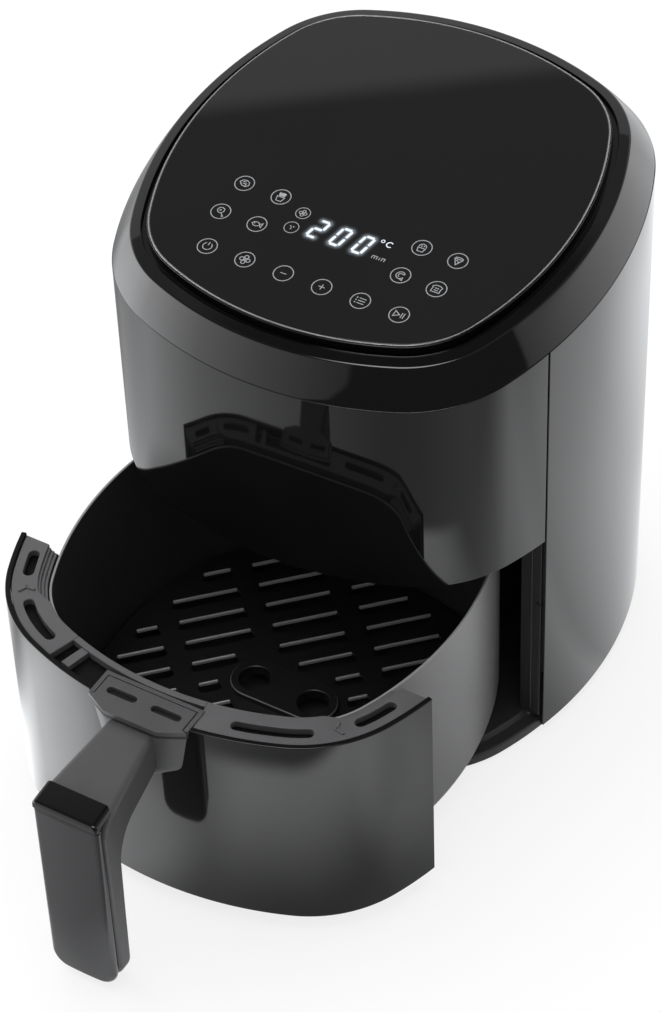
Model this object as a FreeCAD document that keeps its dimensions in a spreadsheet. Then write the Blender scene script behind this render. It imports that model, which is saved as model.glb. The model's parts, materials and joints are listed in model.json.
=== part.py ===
import FreeCAD, Part
import math
import os
import re
import Sketcher

doc = FreeCAD.newDocument("air_fryer")
sheet = doc.addObject("Spreadsheet::Sheet", "sizes")

# Driving dimensions, in millimetres and degrees
# The origin is on the floor under the middle of the body, +Z is up and the drawer opens towards -Y
dimensions = [
    ("half_width", 135, "half of the body's width"),
    ("half_depth", 136.5, "half of the body's depth"),
    ("side_radius", 208, "bow of the four sides in plan"),
    ("corner_radius", 75, "round of the four corners in plan"),
    ("shell_wall", 2.6, "thickness of the casing"),
    ("shell_foot", 6, "lower edge of the casing above the floor"),
    ("shell_top", 291, "upper edge of the casing at mid depth"),
    ("top_tilt", 7.9, "slope of the top towards the front"),
    ("seam_forward", 54, "side seams, forward of the middle"),
    ("seam_gap", 1, "gap at the side seams"),
    ("panel_low", 151, "lower edge of the upper front panel"),
    ("fit_gap", 0.3, "gap between pieces that fit together"),
    ("running_gap", 0.05, "gap between a shaft and what it turns in"),
    ("press_gap", 0.01, "gap between pieces that are pressed together"),
    ("cut_past", 1, "how far a cutting tool runs past a face"),
    ("screw_radius", 2, "shank radius of every screw"),
    ("screw_gap", 0.2, "gap round a screw's shank"),
    ("head_radius", 4, "radius of a screw head"),
    ("head_height", 2.4, "height of a screw head"),
    ("base_inset", 3, "plinth's edge inside the casing's outside"),
    ("base_low", 2.5, "underside of the plinth's edge"),
    ("base_floor", 12, "top of the plinth, under the drawer"),
    ("base_step", 3, "height of the step on the plinth"),
    ("base_ledge", 9, "width of the ledge round the step"),
    ("base_wall", 3, "thickness of the plinth"),
    ("foot_radius", 11, "radius of a foot"),
    ("foot_spread", 80, "feet, out from the middle both ways"),
    ("rail_spread", 70, "drawer rails, out from the middle"),
    ("rail_width", 8, "width of a drawer rail"),
    ("rail_height", 1.7, "height of a drawer rail"),
    ("rail_length", 190, "length of a drawer rail"),
    ("jamb_depth", 6, "depth of the posts beside the opening"),
    ("mouth_gap", 0.6, "gap between the pan and the sides of the opening"),
    ("cheek_length", 21, "length of the straight cheeks behind the opening"),
    ("liner_inset", 19, "outside of the cooking liner inside the casing's outside"),
    ("liner_wall", 1, "thickness of the cooking liner"),
    ("liner_top", 222, "upper edge of the cooking liner"),
    ("collar_lift", 2, "collar above the upper panel's lower edge"),
    ("collar_thick", 3, "thickness of the collar round the chamber"),
    ("cover_gap", 0.8, "gap under the top cover"),
    ("cover_inset", 0.4, "top cover's edge inside the casing's outside"),
    ("cover_rise", 20, "height of the sloping band"),
    ("cover_slope", 12, "how far the band slopes in"),
    ("ring_rise", 5, "rise of the black ring towards the glass"),
    ("ring_width", 10.2, "width of the black ring"),
    ("cover_wall", 3, "thickness of the band"),
    ("cover_floor", 2, "thickness under the glass"),
    ("spigot_inset", 4.4, "spigot of the top cover inside the casing's outside"),
    ("spigot_wall", 2, "thickness of the spigot"),
    ("spigot_depth", 5, "depth of the spigot"),
    ("glass_inset", 23.5, "edge of the glass inside the casing's outside"),
    ("glass_thick", 3, "thickness of the glass"),
    ("trim_width", 0.8, "width of the pale line round the glass"),
    ("trim_gap", 0.1, "gap beside the pale line"),
    ("board_inset", 32, "edge of the control board inside the casing's outside"),
    ("board_drop", 6.4, "control board below the cover's floor"),
    ("board_thick", 1.6, "thickness of the circuit boards"),
    ("post_radius", 4, "radius of the board posts"),
    ("post_spread", 62, "board posts, out from the middle both ways"),
    ("display_side", 4, "middle of the display, right of the middle"),
    ("display_forward", 52, "middle of the display, forward of the middle"),
    ("display_length", 50, "length of the display"),
    ("display_width", 22, "width of the display"),
    ("guard_low", 186, "underside of the heater guard"),
    ("guard_thick", 1.4, "thickness of the heater guard"),
    ("guard_hole", 6.5, "radius of a hole in the heater guard"),
    ("guard_pitch", 18, "spacing of the holes in the heater guard"),
    ("guard_margin", 10, "plain edge of the heater guard"),
    ("heater_height", 196, "middle of the heating tube above the floor"),
    ("heater_tube", 3.25, "radius of the heating tube"),
    ("heater_inner", 66, "inner radius of the heating spiral"),
    ("heater_step", 6, "growth of the heating spiral in half a turn"),
    ("heater_turns", 2, "turns of the heating spiral"),
    ("heater_bend", 8, "bend radius at the ends of the heating tube"),
    ("heater_top", 230, "ends of the heating tube above the floor"),
    ("clip_width", 8, "width of a heater clip"),
    ("clip_inner", 61, "inner end of a heater clip"),
    ("clip_gap", 11, "outer end of a heater clip inside the cooking liner"),
    ("clip_post", 7, "length of a heater clip's post"),
    ("clip_thick", 3, "thickness of a heater clip's bar"),
    ("clip_screw_grip", 16.6, "length of the reflector screws in the heater clips"),
    ("reflector_inset", 12, "edge of the reflector inside the casing's outside"),
    ("reflector_thick", 1.2, "thickness of the reflector and the heat shield"),
    ("shield_inset", 20, "edge of the heat shield inside the casing's outside"),
    ("shield_lift", 9, "heat shield above the reflector"),
    ("spacer_radius", 4, "radius of a spacer"),
    ("spacer_side", 76, "shield spacers, out to the side"),
    ("spacer_back", 60, "shield spacers, out to front and back"),
    ("shaft_radius", 4, "radius of the motor's shaft"),
    ("shaft_hole", 10, "radius of the holes that the shaft passes"),
    ("hub_radius", 11, "radius of the fan hubs"),
    ("hot_fan_radius", 55, "radius of the hot air fan"),
    ("hot_fan_low", 205, "underside of the hot air fan"),
    ("hot_fan_height", 14, "height of the hot air fan"),
    ("hot_fan_blades", 12, "blades of the hot air fan"),
    ("cool_fan_radius", 52, "radius of the cooling fan"),
    ("cool_fan_lift", 4, "cooling fan above the heat shield"),
    ("cool_fan_height", 10, "height of the cooling fan"),
    ("cool_fan_blades", 9, "blades of the cooling fan"),
    ("blade_thick", 1.2, "thickness of the fan blades and their discs"),
    ("nut_radius", 7, "corner radius of the fan nut"),
    ("nut_height", 5, "height of the fan nut"),
    ("bracket_lift", 19, "motor bracket above the heat shield"),
    ("bracket_plate", 2, "thickness of the motor bracket"),
    ("bracket_disc", 36, "radius of the motor bracket's disc"),
    ("bracket_leg", 66, "outside of the motor bracket's legs"),
    ("leg_depth", 6, "depth of a leg"),
    ("leg_width", 14, "width of a leg"),
    ("stator_radius", 30, "radius of the motor"),
    ("stator_height", 22, "height of the motor's stator"),
    ("rotor_radius", 16, "radius of the motor's rotor"),
    ("rotor_short", 2, "rotor shorter than the stator at each end"),
    ("cap_height", 5, "height of the motor's end cap"),
    ("bush_radius", 8, "outside radius of the shaft bushes"),
    ("bush_height", 6, "height of a shaft bush"),
    ("motor_screw_circle", 23, "radius of the circle of the motor's screws"),
    ("motor_screw_length", 10, "length of the motor's screws in the stator"),
    ("power_left", 100, "outer edge of the power board, left of the middle"),
    ("power_right", 66, "inner edge of the power board, left of the middle"),
    ("power_front", 12, "front edge of the power board, behind the middle"),
    ("power_back", 80, "back edge of the power board, behind the middle"),
    ("power_lift", 7, "power board above the heat shield"),
    ("power_margin", 4, "plain edge of the power board"),
    ("transformer_side", 25, "side of the transformer"),
    ("transformer_height", 24, "height of the transformer"),
    ("relay_length", 20, "length of the relay"),
    ("relay_width", 15, "width of the relay"),
    ("relay_height", 15, "height of the relay"),
    ("capacitor_radius", 5, "radius of a capacitor"),
    ("capacitor_height", 20, "height of a capacitor"),
    ("sensor_side", 60, "temperature sensor, right of the middle"),
    ("sensor_inset", 54.5, "temperature sensor, behind the front of the body"),
    ("sensor_radius", 2.5, "radius of the temperature sensor"),
    ("sensor_low", 192, "lower end of the temperature sensor"),
    ("sensor_flange", 6, "radius of the temperature sensor's flange"),
    ("flange_thick", 2, "thickness of the temperature sensor's flange"),
    ("fuse_side", 52, "thermal fuse, left of the middle"),
    ("fuse_back", 84, "thermal fuse, behind the middle"),
    ("fuse_length", 16, "length of the thermal fuse"),
    ("fuse_width", 6, "width and height of the thermal fuse"),
    ("switch_inset", 4.7, "plunger's axis inside the casing's outside"),
    ("switch_height", 100, "plunger's axis above the floor"),
    ("switch_width", 8, "width of the switch"),
    ("switch_length", 20, "length of the switch"),
    ("switch_tall", 16, "height of the switch"),
    ("plunger_radius", 1.6, "radius of the switch's plunger"),
    ("plunger_travel", 1, "travel of the switch's plunger"),
    ("plunger_length", 16, "length of the switch's plunger"),
    ("vent_half", 45, "half of the rear vent's width"),
    ("vent_low", 205, "lower edge of the rear vent"),
    ("vent_high", 265, "upper edge of the rear vent"),
    ("vent_slot", 4, "height of a slot in the rear vent"),
    ("vent_pitch", 8, "spacing of the slots in the rear vent"),
    ("vent_margin", 6, "plain edge of the rear vent"),
    ("vent_lap", 2, "vent's plate wider than its opening, on each side"),
    ("vent_thick", 3, "thickness of the vent's plate"),
    ("rear_half", 48, "half of the rear cover's width"),
    ("gland_height", 42, "cord gland above the floor"),
    ("gland_radius", 9, "radius of the cord gland"),
    ("gland_flange", 12, "radius of the cord gland's flange"),
    ("gland_bore", 4, "radius of the bore for the cord"),
    ("gland_proud", 5, "cord gland proud of the casing"),
    ("gland_inside", 8, "cord gland inside the casing"),
    ("rib_side", 55, "rear ribs, out from the middle"),
    ("rib_width", 9, "width of a rear rib"),
    ("rib_inset", 18, "inner face of a rear rib inside the casing's outside"),
    ("rib_height", 50, "height of a rear rib"),
    ("rib_screw_inset", 11.3, "screws in the rear ribs, inside the casing's outside"),
    ("base_screw_grip", 14, "length of the base screws above the plinth"),
    ("drawer_pull", 122, "how far the drawer stands open"),
    ("drawer_gap", 8, "drawer's panel under the upper panel"),
    ("drawer_foot", 10, "lower edge of the drawer's panel"),
    ("front_wall", 3, "thickness of the drawer's panel"),
    ("backing_wall", 2, "thickness of the wall behind the drawer's panel"),
    ("backing_low", 14, "lower edge of that wall"),
    ("pan_inset", 23, "outside of the pan inside the casing's outside"),
    ("pan_wall", 1.5, "thickness of the pan's wall"),
    ("pan_floor", 2, "thickness of the pan's floor"),
    ("pan_top", 137, "upper edge of the pan"),
    ("pan_round", 9, "round at the pan's floor, outside"),
    ("rim_drop", 1, "top of the drawer's rim below the top of its panel"),
    ("rim_thick", 4.5, "thickness of the drawer's rim"),
    ("rim_slot_outer", 8.5, "slots of the rim, outer side inside the casing's outside"),
    ("rim_slot_inner", 14.5, "slots of the rim, inner side inside the casing's outside"),
    ("bracket_half", 30, "half of the handle bracket's width"),
    ("bracket_thick", 5, "thickness of the handle bracket, sunk in the panel and the rim"),
    ("bracket_tongue", 15, "handle bracket's reach over the rim"),
    ("bracket_slot_start", 4.5, "slots of the handle bracket, inner end"),
    ("bracket_slot_length", 18, "slots of the handle bracket, length"),
    ("bracket_slot_width", 4.5, "slots of the handle bracket, width"),
    ("bracket_slot_depth", 3, "slots of the handle bracket, depth"),
    ("bracket_slot_inset", 4.5, "slots of the handle bracket, inside the panel's front"),
    ("apron_half", 25, "half of the apron's width"),
    ("apron_drop", 36, "drop of the apron down the panel"),
    ("apron_wall", 7, "thickness of the apron"),
    ("handle_screw_side", 9, "handle screws, out from the middle"),
    ("handle_screw_drop", 22, "handle screws below the top of the drawer's panel"),
    ("arm_drop", 5, "arm's root below the top of the drawer's panel"),
    ("arm_fall", 8, "fall of the arm to the grip"),
    ("arm_height", 24, "height of the arm at the grip"),
    ("arm_root_height", 27, "height of the arm at the root"),
    ("arm_root_half", 14, "half of the arm's width at the root"),
    ("arm_reach", 63.5, "front of the grip's core ahead of the body"),
    ("arm_bend", 12, "round between arm and grip"),
    ("grip_half", 20, "half of the grip's width"),
    ("grip_thick", 12.5, "thickness of the grip's core"),
    ("grip_plate", 5.8, "thickness of the grip's front plate"),
    ("grip_low", 5, "lower end of the grip above the floor"),
    ("accent_drop", 9, "accent strip's lower edge below the top of the grip"),
    ("accent_reach", 16, "accent strip's reach over the arm"),
    ("accent_thick", 3.6, "thickness of the accent strip on the arm"),
    ("joint_line", 0.2, "joint line between the handle's pieces"),
    ("crisper_inset", 26, "edge of the crisper plate inside the casing's outside"),
    ("crisper_lift", 10, "crisper plate above the pan's floor"),
    ("crisper_thick", 2.5, "thickness of the crisper plate"),
    ("crisper_edge", 8, "plain edge of the crisper plate"),
    ("crisper_slot_width", 6, "width of a slot in the crisper plate"),
    ("crisper_slot_length", 41, "length of a slot in the crisper plate"),
    ("crisper_slot_pitch", 17, "spacing of the slots across"),
    ("crisper_row_pitch", 51, "spacing of the rows of slots"),
    ("crisper_slot_least", 8, "shortest slot kept at the edges"),
    ("crisper_boss_half", 33, "half of the finger boss's length"),
    ("crisper_boss_radius", 14, "round ends of the finger boss"),
    ("crisper_boss_height", 4, "height of the finger boss"),
    ("finger_radius", 9, "radius of a finger hole"),
    ("finger_side", 19, "finger holes, out from the middle"),
    ("bumper_radius", 6, "radius of a bumper under the crisper plate"),
    ("bumper_spread", 70, "bumpers, out from the middle both ways"),
]
for row, (alias, amount, meaning) in enumerate(dimensions, 1):
    sheet.set("A%d" % row, meaning)
    sheet.set("B%d" % row, str(amount))
    sheet.setAlias("B%d" % row, alias)
doc.recompute()

# Heights and places that several pieces share, worked out from the dimensions
pan_low = "base_floor + rail_height + fit_gap"
pan_inside = "%s + pan_floor" % pan_low
collar_low = "panel_low + collar_lift"
mouth_front = "-(seam_forward - fit_gap)"
mouth_back = "-(seam_forward - fit_gap - jamb_depth)"
mouth_half = "half_width - pan_inset + mouth_gap"
drawer_end = "-(seam_forward + seam_gap)"
drawer_top = "panel_low - drawer_gap"
rim_top = "%s - rim_drop" % drawer_top
rim_low = "%s - rim_thick" % rim_top
bracket_seat = "%s - bracket_thick" % drawer_top
reflector_top = "liner_top + reflector_thick"
shield_low = "%s + shield_lift" % reflector_top
shield_top = "%s + reflector_thick" % shield_low
bracket_low = "%s + bracket_lift" % shield_top
stator_low = "%s + bracket_plate" % bracket_low
stator_top = "%s + stator_height" % stator_low
power_low = "%s + power_lift" % shield_top
power_top = "%s + board_thick" % power_low
glass_low = "cover_rise + ring_rise - glass_thick"
ceiling = "%s - cover_floor" % glass_low
board_top = "%s - board_drop" % ceiling
tilted_depth = "half_depth / cos(top_tilt * 1 deg)"
clip_low = "heater_height + heater_tube + fit_gap / 2"
clip_outer = "min(half_width; half_depth) - liner_inset - liner_wall - clip_gap"
clip_middle = "%s - clip_post / 2" % clip_outer
crisper_low = "%s + crisper_lift" % pan_inside
crisper_top = "%s + crisper_thick" % crisper_low
panel_front = "-half_depth"
apron_front = "-half_depth - apron_wall"
core_front = "-half_depth - arm_reach"
grip_front = "-half_depth - arm_reach - grip_plate"
arm_top = "%s - arm_drop" % drawer_top
grip_top = "%s - arm_fall" % arm_top
accent_low = "%s - accent_drop" % grip_top

clip_angles = (90, 210, 330)
leg_angles = (90, 210, 330)
motor_screw_angles = (30, 150, 270)
# Slots of the rim, as angles to the left (-) and right (+) of the handle
rim_slots = ((-66, -56), (-44.5, -30), (-26.6, -24.4), (-21.2, -19), (20.5, 39), (49.5, 60))
both = (-1, 1)

nodes = []


def linked(text):
    return re.sub(r"\b[a-z]+(?:_[a-z]+)+\b", lambda word: "sizes." + word.group(0), str(text))


def number(text):
    result = sheet.evalExpression(str(text))
    return float(getattr(result, "Value", result))


def bind(item, links):
    for name, text in links.items():
        item.setExpression(name, linked(text))
    return item


def node(item, label):
    item.Label = label
    nodes.append(item)
    return item


def in_drawer(item):
    return bind(item, {"Placement.Base.y": "-drawer_pull"})


def on_top(item):
    item.Placement = FreeCAD.Placement(FreeCAD.Vector(), FreeCAD.Rotation(FreeCAD.Vector(1, 0, 0), 1))
    return bind(item, {"Placement.Base.z": "shell_top", "Placement.Rotation.Angle": "top_tilt"})


# Sketches
def new_sketch(body, role, lift="0"):
    sketch = body.newObject("Sketcher::SketchObject", body.Name + "_sketch")
    plane = [item for item in body.Origin.OriginFeatures if item.Role == role][0]
    sketch.AttachmentSupport = [(plane, "")]
    sketch.MapMode = "FlatFace"
    bind(sketch, {"AttachmentOffset.Base.z": lift})
    return sketch


def hold(sketch, name, amount, *parts):
    index = sketch.addConstraint(Sketcher.Constraint(*parts, number(amount)))
    label = "%s_%d" % (name, index)
    sketch.renameConstraint(index, label)
    sketch.setExpression("Constraints." + label, linked(amount))


def plan_centres(depth="half_depth"):
    # Middles of the right side's, the back's and the back right corner's arcs, the same at every inset
    shift_x = number("half_width - side_radius")
    shift_y = number("(%s) - side_radius" % depth)
    reach = number("side_radius - corner_radius")
    span = math.hypot(shift_x, shift_y)
    rise = math.sqrt(reach ** 2 - span ** 2 / 4)
    corner_x = shift_x / 2 - rise * shift_y / span
    corner_y = shift_y / 2 - rise * shift_x / span
    return shift_x, shift_y, corner_x, corner_y


def outline(sketch, inset, depth="half_depth"):
    # The plan of the body, moved in by the inset: four bowed sides and four round corners, all tangent
    start = sketch.GeometryCount
    side = "side_radius - (%s)" % inset
    corner = "corner_radius - (%s)" % inset
    shift_x, shift_y, corner_x, corner_y = plan_centres(depth)
    first = math.atan2(corner_y, corner_x - shift_x)
    second = math.atan2(corner_y - shift_y, corner_x)
    turn = math.pi
    arcs = [
        (shift_x, 0, side, -first, first),
        (corner_x, corner_y, corner, first, second),
        (0, shift_y, side, second, turn - second),
        (-corner_x, corner_y, corner, turn - second, turn - first),
        (-shift_x, 0, side, turn - first, turn + first),
        (-corner_x, -corner_y, corner, turn + first, turn + second),
        (0, -shift_y, side, turn + second, 2 * turn - second),
        (corner_x, -corner_y, corner, 2 * turn - second, 2 * turn - first),
    ]
    up = FreeCAD.Vector(0, 0, 1)
    for x, y, radius, low, high in arcs:
        circle = Part.Circle(FreeCAD.Vector(x, y, 0), up, number(radius))
        sketch.addGeometry(Part.ArcOfCircle(circle, low, high))
    for index in range(8):
        here = start + index
        following = start + (index + 1) % 8
        sketch.addConstraint(Sketcher.Constraint("Tangent", here, 2, following, 1))
    for index, axis in ((0, -1), (4, -1), (2, -2), (6, -2)):
        sketch.addConstraint(Sketcher.Constraint("PointOnObject", start + index, 3, axis))
    for index in (0, 2, 4, 6):
        hold(sketch, "side", side, "Radius", start + index)
    for index in (1, 3, 5, 7):
        hold(sketch, "corner", corner, "Radius", start + index)
    hold(sketch, "right", "side_radius - half_width", "DistanceX", start, 3, -1, 1)
    hold(sketch, "left", "side_radius - half_width", "DistanceX", -1, 1, start + 4, 3)
    hold(sketch, "back", "side_radius - (%s)" % depth, "DistanceY", start + 2, 3, -1, 1)
    hold(sketch, "front", "side_radius - (%s)" % depth, "DistanceY", -1, 1, start + 6, 3)


def polygon(sketch, points):
    start = sketch.GeometryCount
    corners = [FreeCAD.Vector(number(x), number(y), 0) for x, y in points]
    for index, corner in enumerate(corners):
        sketch.addGeometry(Part.LineSegment(corner, corners[(index + 1) % len(corners)]))
    for index in range(len(points)):
        following = start + (index + 1) % len(points)
        sketch.addConstraint(Sketcher.Constraint("Coincident", start + index, 2, following, 1))
    for index, (x, y) in enumerate(points):
        hold(sketch, "across", x, "DistanceX", -1, 1, start + index, 1)
        hold(sketch, "along", y, "DistanceY", -1, 1, start + index, 1)


# Features of a body
def new_body(label):
    return doc.addObject("PartDesign::Body", label)


def pad(body, sketch, length, reverse=False, both_sides=False):
    feature = body.newObject("PartDesign::Pad", body.Name + "_pad")
    feature.Profile = sketch
    feature.Reversed = reverse
    if both_sides:
        feature.SideType = "Symmetric"
    return bind(feature, {"Length": length})


def pocket(body, sketch, length=None, upward=False):
    feature = body.newObject("PartDesign::Pocket", body.Name + "_pocket")
    feature.Profile = sketch
    feature.Reversed = upward
    if length is None:
        feature.Type = "ThroughAll"
        return feature
    return bind(feature, {"Length": length})


def fillet(body, radius, picked):
    doc.recompute()
    base = body.Tip
    names = ["Edge%d" % (i + 1) for i, edge in enumerate(base.Shape.Edges) if picked(edge.BoundBox)]
    feature = body.newObject("PartDesign::Fillet", body.Name + "_fillet")
    feature.Base = (base, names)
    return bind(feature, {"Radius": radius})


def level(height):
    # Edges that lie flat at one height
    target = number(height)
    return lambda box: abs(box.ZMin - target) < 0.01 and abs(box.ZMax - target) < 0.01


def cross_edge(across, height):
    # Edges that run from side to side at one place
    y, z = number(across), number(height)
    return lambda box: abs(box.YMin - y) + abs(box.YMax - y) + abs(box.ZMin - z) + abs(box.ZMax - z) < 0.04


def prism(label, insets, low, high, depth="half_depth"):
    body = new_body(label)
    sketch = new_sketch(body, "XY_Plane", low)
    for inset in insets:
        outline(sketch, inset, depth)
    pad(body, sketch, "(%s) - (%s)" % (high, low))
    return body


# Plain solids and what joins them
def block(label, x, y, z):
    box = doc.addObject("Part::Box", label)
    names = ("Length", "Width", "Height")
    for name, axis, (low, high) in zip(names, "xyz", (x, y, z)):
        bind(box, {name: "(%s) - (%s)" % (high, low), "Placement.Base." + axis: low})
    return box


def drum(label, radius, low, high, x="0", y="0"):
    cylinder = doc.addObject("Part::Cylinder", label)
    bind(cylinder, {"Radius": radius, "Height": "(%s) - (%s)" % (high, low)})
    return bind(cylinder, {"Placement.Base.x": x, "Placement.Base.y": y, "Placement.Base.z": low})


def rod(label, radius, front, back, x, z):
    # A cylinder along Y
    cylinder = doc.addObject("Part::Cylinder", label)
    turned = FreeCAD.Rotation(FreeCAD.Vector(1, 0, 0), -90)
    cylinder.Placement = FreeCAD.Placement(FreeCAD.Vector(), turned)
    bind(cylinder, {"Radius": radius, "Height": "(%s) - (%s)" % (back, front)})
    return bind(cylinder, {"Placement.Base.x": x, "Placement.Base.y": front, "Placement.Base.z": z})


def slice_of_circle(label, start, end, low, high):
    # A wedge of a large disc, with its angles counted from the handle
    wedge = drum(label, "half_width + half_depth", low, high)
    wedge.Angle = end - start
    turned = FreeCAD.Rotation(FreeCAD.Vector(0, 0, 1), start - 90)
    wedge.Placement = FreeCAD.Placement(FreeCAD.Vector(), turned)
    return bind(wedge, {"Placement.Base.z": low})


def turned_about_shaft(item, angle):
    item.Placement = FreeCAD.Placement(FreeCAD.Vector(), FreeCAD.Rotation(FreeCAD.Vector(0, 0, 1), angle))
    return item


def fuse(label, items):
    joined = doc.addObject("Part::MultiFuse", label)
    joined.Shapes = list(items)
    return joined


def together(label, items):
    group = doc.addObject("Part::Compound", label)
    group.Links = list(items)
    return group


def cut(label, base, *tools):
    result = doc.addObject("Part::Cut", label)
    result.Base = base
    result.Tool = tools[0] if len(tools) == 1 else together(label + "_tools", tools)
    return result


def common(label, first, second):
    result = doc.addObject("Part::Common", label)
    result.Base = first
    result.Tool = second
    return result


def made(label, shape):
    item = doc.addObject("Part::Feature", label)
    item.Shape = shape
    return item


def ring(label, outer, inner, low, high, x="0", y="0"):
    hole = drum(label + "_bore", inner, "(%s) - cut_past" % low, "(%s) + cut_past" % high, x, y)
    return cut(label, drum(label + "_disc", outer, low, high, x, y), hole)


far = "2 * half_width"
beyond_front = ("-2 * half_depth", drawer_end)
screw_hole = "screw_radius + screw_gap"


# Casing
def top_wedge(label):
    # Everything above the sloping upper edge of the casing
    wedge = block(label, ("-" + far, far), ("0", "4 * half_depth"), ("0", "2 * half_depth"))
    wedge.Placement = FreeCAD.Placement(FreeCAD.Vector(), FreeCAD.Rotation(FreeCAD.Vector(1, 0, 0), 1))
    return bind(wedge, {
        "Placement.Base.x": "-" + far,
        "Placement.Base.y": "-2 * half_depth * cos(top_tilt * 1 deg)",
        "Placement.Base.z": "shell_top - 2 * half_depth * sin(top_tilt * 1 deg)",
        "Placement.Rotation.Angle": "top_tilt",
    })


shell_high = "shell_top + half_depth"
shell_ring = prism("shell_ring", ("0", "shell_wall"), "shell_foot", shell_high)
rib_band = prism("rib_band", ("shell_wall / 2", "rib_inset"), "base_floor", "base_floor + rib_height")
rib_blocks = []
for side in both:
    middle = "%d * rib_side" % side
    across = ("%s - rib_width / 2" % middle, "%s + rib_width / 2" % middle)
    rib_blocks.append(block("rib_block", across, ("0", far), ("0", "shell_top")))
ribs = common("ribs", rib_band, together("rib_blocks", rib_blocks))
rib_screw_y = "half_depth - rib_screw_inset - rib_side ^ 2 / (2 * side_radius)"
front_screw_x = "half_width - liner_inset / 2 - shell_wall / 2 - seam_forward ^ 2 / (2 * side_radius)"
front_screw_y = "-(seam_forward - fit_gap - jamb_depth / 2)"
screw_places = [("%d * rib_side" % side, rib_screw_y) for side in both]
screw_places += [("%d * (%s)" % (side, front_screw_x), front_screw_y) for side in both]
screw_low = "base_floor - base_step - base_wall"


def base_screw_holes(label):
    high = "base_floor + base_screw_grip + fit_gap"
    return together(label, [drum(label + "_hole", screw_hole, "0", high, x, y) for x, y in screw_places])


seam_front = block("seam_front", ("-" + far, far), ("-" + far, "-seam_forward"), ("0", "2 * shell_top"))
for side, label in ((-1, "side_shell_left"), (1, "side_shell_right")):
    inner = "%d * (rear_half + fit_gap)" % side
    outer = "%d * %s" % (side, far)
    across = (outer, inner) if side < 0 else (inner, outer)
    kept = block(label + "_side", across, ("-" + far, far), ("0", "2 * shell_top"))
    walls = fuse(label + "_walls", (shell_ring, ribs))
    half = common(label + "_half", walls, kept)
    shell = cut(label, half, seam_front, top_wedge(label + "_wedge"), base_screw_holes(label + "_screws"))
    node(shell, label)

vent_opening = block(
    "vent_opening", ("-vent_half", "vent_half"), ("0", far), ("vent_low", "vent_high")
)
gland_back = "half_depth + gland_proud"
gland_front = "half_depth - gland_inside"
gland_hole = rod("gland_hole", "gland_radius + fit_gap", gland_front, gland_back, "0", "gland_height")
rear_block = block("rear_block", ("-rear_half", "rear_half"), ("0", far), ("0", "2 * shell_top"))
rear_ring = prism("rear_ring", ("0", "shell_wall"), "shell_foot", shell_high)
rear_strip = common("rear_strip", rear_ring, rear_block)
node(cut("rear_cover", rear_strip, top_wedge("rear_wedge"), vent_opening, gland_hole), "rear_cover")

seam_rear = block("seam_rear", ("-" + far, far), (drawer_end, far), ("0", "2 * shell_top"))
panel_ring = prism("panel_ring", ("0", "shell_wall"), "panel_low", shell_high)
node(cut("front_upper_panel", panel_ring, seam_rear, top_wedge("panel_wedge")), "front_upper_panel")

vent_wide = "vent_half + vent_lap"
vent_bow = "(%s) ^ 2 / (2 * (side_radius - shell_wall))" % vent_wide
vent_back = "half_depth - shell_wall - fit_gap - %s" % vent_bow
vent_plate = block(
    "vent_plate",
    ("-(%s)" % vent_wide, vent_wide),
    ("%s - vent_thick" % vent_back, vent_back),
    ("vent_low - vent_lap", "vent_high + vent_lap"),
)
vent_slots = []
slot_count = int(number("(vent_high - vent_low - 2 * vent_margin + vent_pitch - vent_slot) / vent_pitch"))
for index in range(slot_count):
    low = "vent_low + vent_margin + %d * vent_pitch" % index
    across = ("vent_margin - vent_half", "vent_half - vent_margin")
    vent_slots.append(block("vent_cut", across, ("0", far), (low, "%s + vent_slot" % low)))
node(cut("rear_vent_grille", vent_plate, *vent_slots), "rear_vent_grille")

gland_parts = (
    rod("gland_body", "gland_radius", gland_front, gland_back, "0", "gland_height"),
    rod("gland_collar", "gland_flange", "half_depth + fit_gap", gland_back, "0", "gland_height"),
)
gland_through = rod("gland_through", "gland_bore", gland_front, gland_back, "0", "gland_height")
node(cut("cord_gland", fuse("gland_solid", gland_parts), gland_through), "cord_gland")

# Plinth, feet and rails
base = new_body("base_pan_body")
edge_sketch = new_sketch(base, "XY_Plane", "base_low")
outline(edge_sketch, "base_inset")
pad(base, edge_sketch, "base_floor - base_step - base_low")
step_sketch = new_sketch(base, "XY_Plane", "base_floor - base_step")
outline(step_sketch, "base_inset + base_ledge")
pad(base, step_sketch, "base_step")
hollow_sketch = new_sketch(base, "XY_Plane", "base_low")
outline(hollow_sketch, "base_inset + base_wall")
pocket(base, hollow_sketch, "%s - base_low" % screw_low, upward=True)
node(cut("base_pan", base, base_screw_holes("base_holes")), "base_pan")

feet = []
for x in both:
    for y in both:
        place = ("%d * foot_spread" % x, "%d * foot_spread" % y)
        feet.append(drum("foot", "foot_radius", "0", screw_low, *place))
node(together("feet", feet), "feet")

base_screws = []
for x, y in screw_places:
    head = drum("base_screw_head", "head_radius", "%s - head_height" % screw_low, screw_low, x, y)
    shank = drum("base_screw_shank", "screw_radius", screw_low, "base_floor + base_screw_grip", x, y)
    base_screws.append(fuse("base_screw", (head, shank)))
node(together("base_screws", base_screws), "base_screws")

rails = []
for side in both:
    middle = "%d * rail_spread" % side
    across = ("%s - rail_width / 2" % middle, "%s + rail_width / 2" % middle)
    along = ("-rail_length / 2", "rail_length / 2")
    rails.append(block("rail", across, along, ("base_floor", "base_floor + rail_height")))
node(together("drawer_rails", rails), "drawer_rails")

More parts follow.
